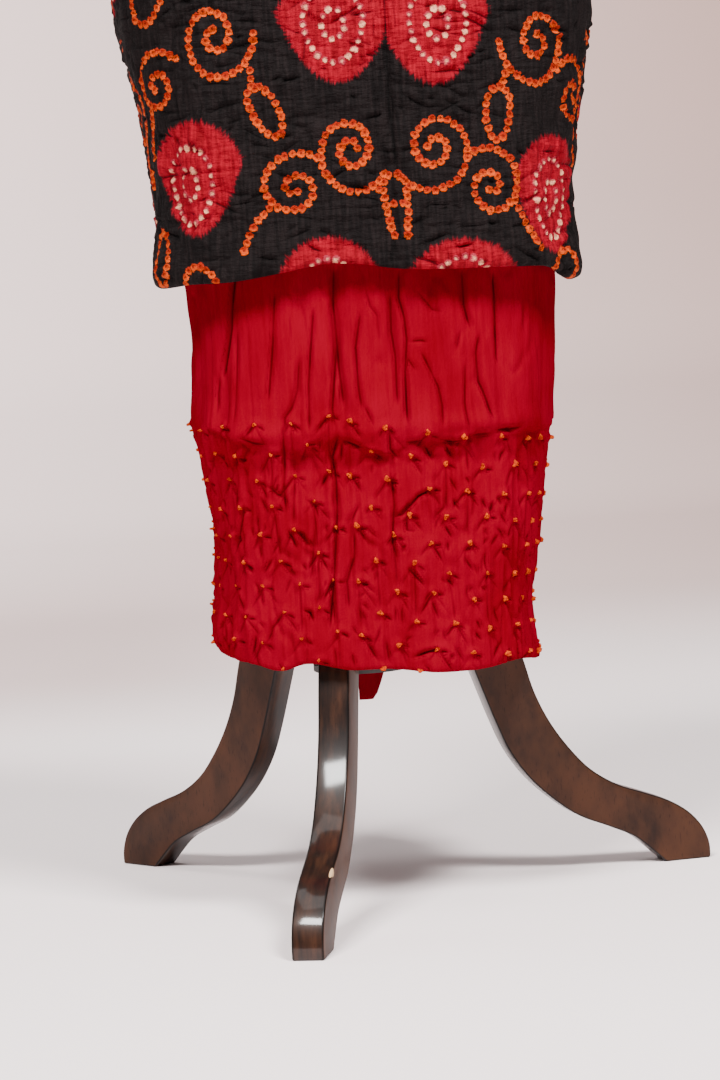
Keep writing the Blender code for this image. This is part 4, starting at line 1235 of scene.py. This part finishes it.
def wood_material(name, turn, chip=None):
    """Dark stain, glossy on the board's narrow faces and satin on its broad ones, with worn dark edges."""
    made, shader, start = new_material(name, {"Coat Roughness": 0.11, "Specular IOR Level": 0.12, "Coat IOR": 1.5})
    at = start.places()
    leg = start.node(
        "ShaderNodeVectorRotate",
        {"rotation_type": "Z_AXIS"},
        {"Vector": at, "Center": (AXIS_X, AXIS_Y, 0.0), "Angle": -math.radians(turn)},
    )
    along, across, up = leg.parts()
    side = across - AXIS_Y
    broad = side.size().ramp(0.5 * LEG_THICKNESS - 0.0004, 0.5 * LEG_THICKNESS - 0.0001)
    streak = start.grain(leg, (60.0, 260.0, 30.0), 5.0, 0.65)
    pores = start.grain(leg, (700.0, 1600.0, 160.0), 2.0)
    cloud = start.grain(leg, (26.0, 60.0, 17.0), 3.0, 0.6)
    tone = (streak * 0.5 + cloud * 0.65 + broad * 0.18 - 0.07).ramp(0.36, 0.82)
    stained = tone.blend(WOOD_LOW, WOOD_HIGH)
    colour = (pores.ramp(0.60, 0.72) * 0.5).blend(stained, WOOD_PORE)
    edge = side.size().ramp(0.5 * LEG_THICKNESS - 0.0022, 0.5 * LEG_THICKNESS - 0.0008) * (1.0 - broad)
    colour = (edge * 0.85).blend(colour, WOOD_EDGE)
    if chip:
        rise = (up - chip.z) / 0.0042 + (streak - 0.5) * 0.6
        reach = (side - 0.5 * LEG_THICKNESS + 0.0010) / 0.0013
        run = (along - AXIS_X - chip.r) / 0.0075
        bare = (rise * rise + reach * reach + run * run).ramp(0.7, 1.1, 1.0, 0.0)
        colour = bare.blend(colour, WOOD_BARE)
    normal = start.bump(pores * 0.00005 + cloud * 0.00020, 0.6)
    connect(shader, colour=colour, roughness=0.36 + broad * 0.16 + streak * 0.10, normal=normal)
    connect(shader, coat=(0.54 - broad * 0.45) * (1.0 - edge * 0.85))
    return made


def metal_material(name, colour, rough):
    made, shader, start = new_material(name, {"Metallic": 1.0})
    at = start.places()
    marks = start.grain(at, (240.0, 240.0, 900.0), 3.0)
    tint = marks.ramp(0.3, 0.75).blend((*[0.75 * c for c in colour], 1.0), (*colour, 1.0))
    connect(shader, colour=tint, roughness=rough + marks * 0.2, normal=start.bump(marks * 0.00005, 0.5))
    return made


def cover_material():
    made, shader, start = new_material("form cover", {"Specular IOR Level": 0.2})
    at = start.places()
    x, y, z = at.parts()
    rows = z.math("SINE", z * (2.0 * math.pi / 0.0016))
    ribs = z.math("SINE", (x + y) * (2.0 * math.pi / 0.0014))
    tint = start.grain(at, (60.0, 60.0, 60.0), 4.0)
    colour = tint.ramp(0.3, 0.75).blend(COVER_LOW, COVER_HIGH)
    connect(shader, colour=colour, roughness=0.85 + tint * 0.1, normal=start.bump((rows + ribs) * 0.00005, 0.8))
    return made


# Hard pieces

def make_leg(side, direction):
    """The leg's outline as one face, pushed out to its thickness, with eased edges."""
    outer = smooth_outline(LEG_OUTER, 90)
    inner = smooth_outline(LEG_INNER, 80)
    flat = COLUMN_FLAT + GAP
    root = np.array([(flat, outer[-1, 1] + 0.001), (flat, inner[0, 1] - 0.001)])
    outline = np.concatenate([outer, root, inner])
    shape = bmesh.new()
    bmesh.ops.create_circle(shape, cap_ends=True, segments=len(outline), radius=1.0)
    shape.verts.ensure_lookup_table()
    for vertex, (r, z) in zip(shape.verts, outline):
        vertex.co = (r, -0.5 * LEG_THICKNESS, max(z, 0.0))
    pushed = bmesh.ops.extrude_face_region(shape, geom=list(shape.faces))
    moved = [item for item in pushed["geom"] if isinstance(item, bmesh.types.BMVert)]
    bmesh.ops.translate(shape, verts=moved, vec=(0.0, LEG_THICKNESS, 0.0))
    bmesh.ops.recalc_face_normals(shape, faces=shape.faces)
    sharp = [edge for edge in shape.edges if edge.calc_face_angle(0.0) > math.radians(50)]
    bmesh.ops.bevel(
        shape, geom=sharp, offset=LEG_EDGE, segments=4, profile=0.5, affect="EDGES", material=-1, clamp_overlap=True
    )
    turn = Matrix.Translation((AXIS_X, AXIS_Y, 0.0)) @ Matrix.Rotation(math.radians(direction), 4, "Z")
    bmesh.ops.transform(shape, matrix=turn, verts=shape.verts)
    mesh = bpy.data.meshes.new("leg_" + side + "_wood")
    shape.to_mesh(mesh)
    shape.free()
    mesh.shade_smooth()
    mesh.set_sharp_from_angle(angle=math.radians(40))
    wood = wood_material("stained wood " + side, direction, CHIP if side == "front" else None)
    shown("leg_" + side + "_wood", mesh, wood, "stained_wood", "leg_" + side)


def repaint(node, material):
    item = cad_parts[node]
    item.data.materials.clear()
    item.data.materials.append(material)
    item.data.shade_smooth()
    item.data.set_sharp_from_angle(angle=math.radians(35))


# Studio

def make_stage():
    """A pale floor that curves up into a backdrop, with painted shade: darker towards the back, and on the wall
    darker towards the right and top, and a painted soft shadow on the far floor at the left.
    """
    y, z = np.array(STAGE_PROFILE).T
    length = run_length(y, z)
    at = np.linspace(0.0, length[-1], STAGE_ROWS)
    rows = np.empty((STAGE_ROWS, 2, 3))
    rows[..., 0] = (-STAGE_SIDE, STAGE_SIDE)
    rows[..., 1] = np.interp(at, length, y)[:, None]
    rows[..., 2] = np.interp(at, length, z)[:, None]
    mesh, _, _ = grid_mesh("backdrop", rows)
    made = bpy.data.objects.new("backdrop", mesh)
    bpy.context.scene.collection.objects.link(made)
    material, shader, start = new_material("backdrop paper", {"Roughness": 0.9, "Specular IOR Level": 0.1})
    where = start.places()
    x, y, z = where.parts()
    # Painted shade: the wall darkens towards the right and top, with some random variation
    wall_shading = x * 0.55 + z * 0.35 + start.grain(where, (0.7, 0.7, 0.7), 2.0) * 0.3 + 0.20
    wall = wall_shading.ramp(-0.1, 1.2).blend(PAPER_WALL_LIT, PAPER_WALL_SHADED)
    plain = y.ramp(0.8, 2.4).blend(PAPER_FLOOR, wall)
    # Painted shadow: a soft dark patch on the far floor at the left
    painted_shadow = x.ramp(-0.35, 0.10, 1.0, 0.0) * y.ramp(0.8, 1.5) * y.ramp(1.9, 2.7, 1.0, 0.0)
    connect(shader, colour=(painted_shadow * 0.75).blend(plain, PAPER_PAINTED_SHADOW))
    mesh.materials.append(material)


def make_lights():
    for lamp in LAMPS:
        data = bpy.data.lights.new(lamp.name, "AREA")
        data.shape = "RECTANGLE"
        data.size = lamp.wide
        data.size_y = lamp.high
        data.energy = lamp.power
        data.color = lamp.colour
        made = bpy.data.objects.new(lamp.name, data)
        made.location = lamp.place
        made.rotation_euler = (Vector(lamp.aim) - Vector(lamp.place)).to_track_quat("-Z", "Y").to_euler()
        bpy.context.scene.collection.objects.link(made)
    world = bpy.data.worlds.new("soft room")
    bpy.context.scene.world = world
    world.use_nodes = True
    background = world.node_tree.nodes["Background"]
    background.inputs["Color"].default_value = WORLD_COLOUR
    background.inputs["Strength"].default_value = WORLD_STRENGTH


def make_camera():
    data = bpy.data.cameras.new("camera")
    data.lens = CAMERA_LENS
    data.sensor_width = SENSOR
    made = bpy.data.objects.new("camera", data)
    made.matrix_world = (
        Matrix.Translation(CAMERA_PLACE)
        @ Matrix.Rotation(math.radians(90.0 - CAMERA_DOWN), 4, "X")
        @ Matrix.Rotation(math.radians(CAMERA_ROLL), 4, "Z")
    )
    bpy.context.scene.collection.objects.link(made)
    bpy.context.scene.camera = made


make_camera()
make_stage()
make_lights()
upper = make_upper(black_material())
lower, tufts = make_lower(red_material(), knot_material())
for side, direction in LEG_DIRECTIONS.items():
    make_leg(side, direction)
repaint("column", wood_material("stained wood column", 0.0))
repaint("waist_cap", wood_material("stained wood cap", 0.0))
repaint("base_plate", metal_material("plate metal", (0.07, 0.068, 0.066), 0.45))
repaint("pole", metal_material("pole metal", (0.66, 0.66, 0.66), 0.22))
repaint("collar", metal_material("collar metal", (0.40, 0.40, 0.40), 0.35))
repaint("hip_form", cover_material())
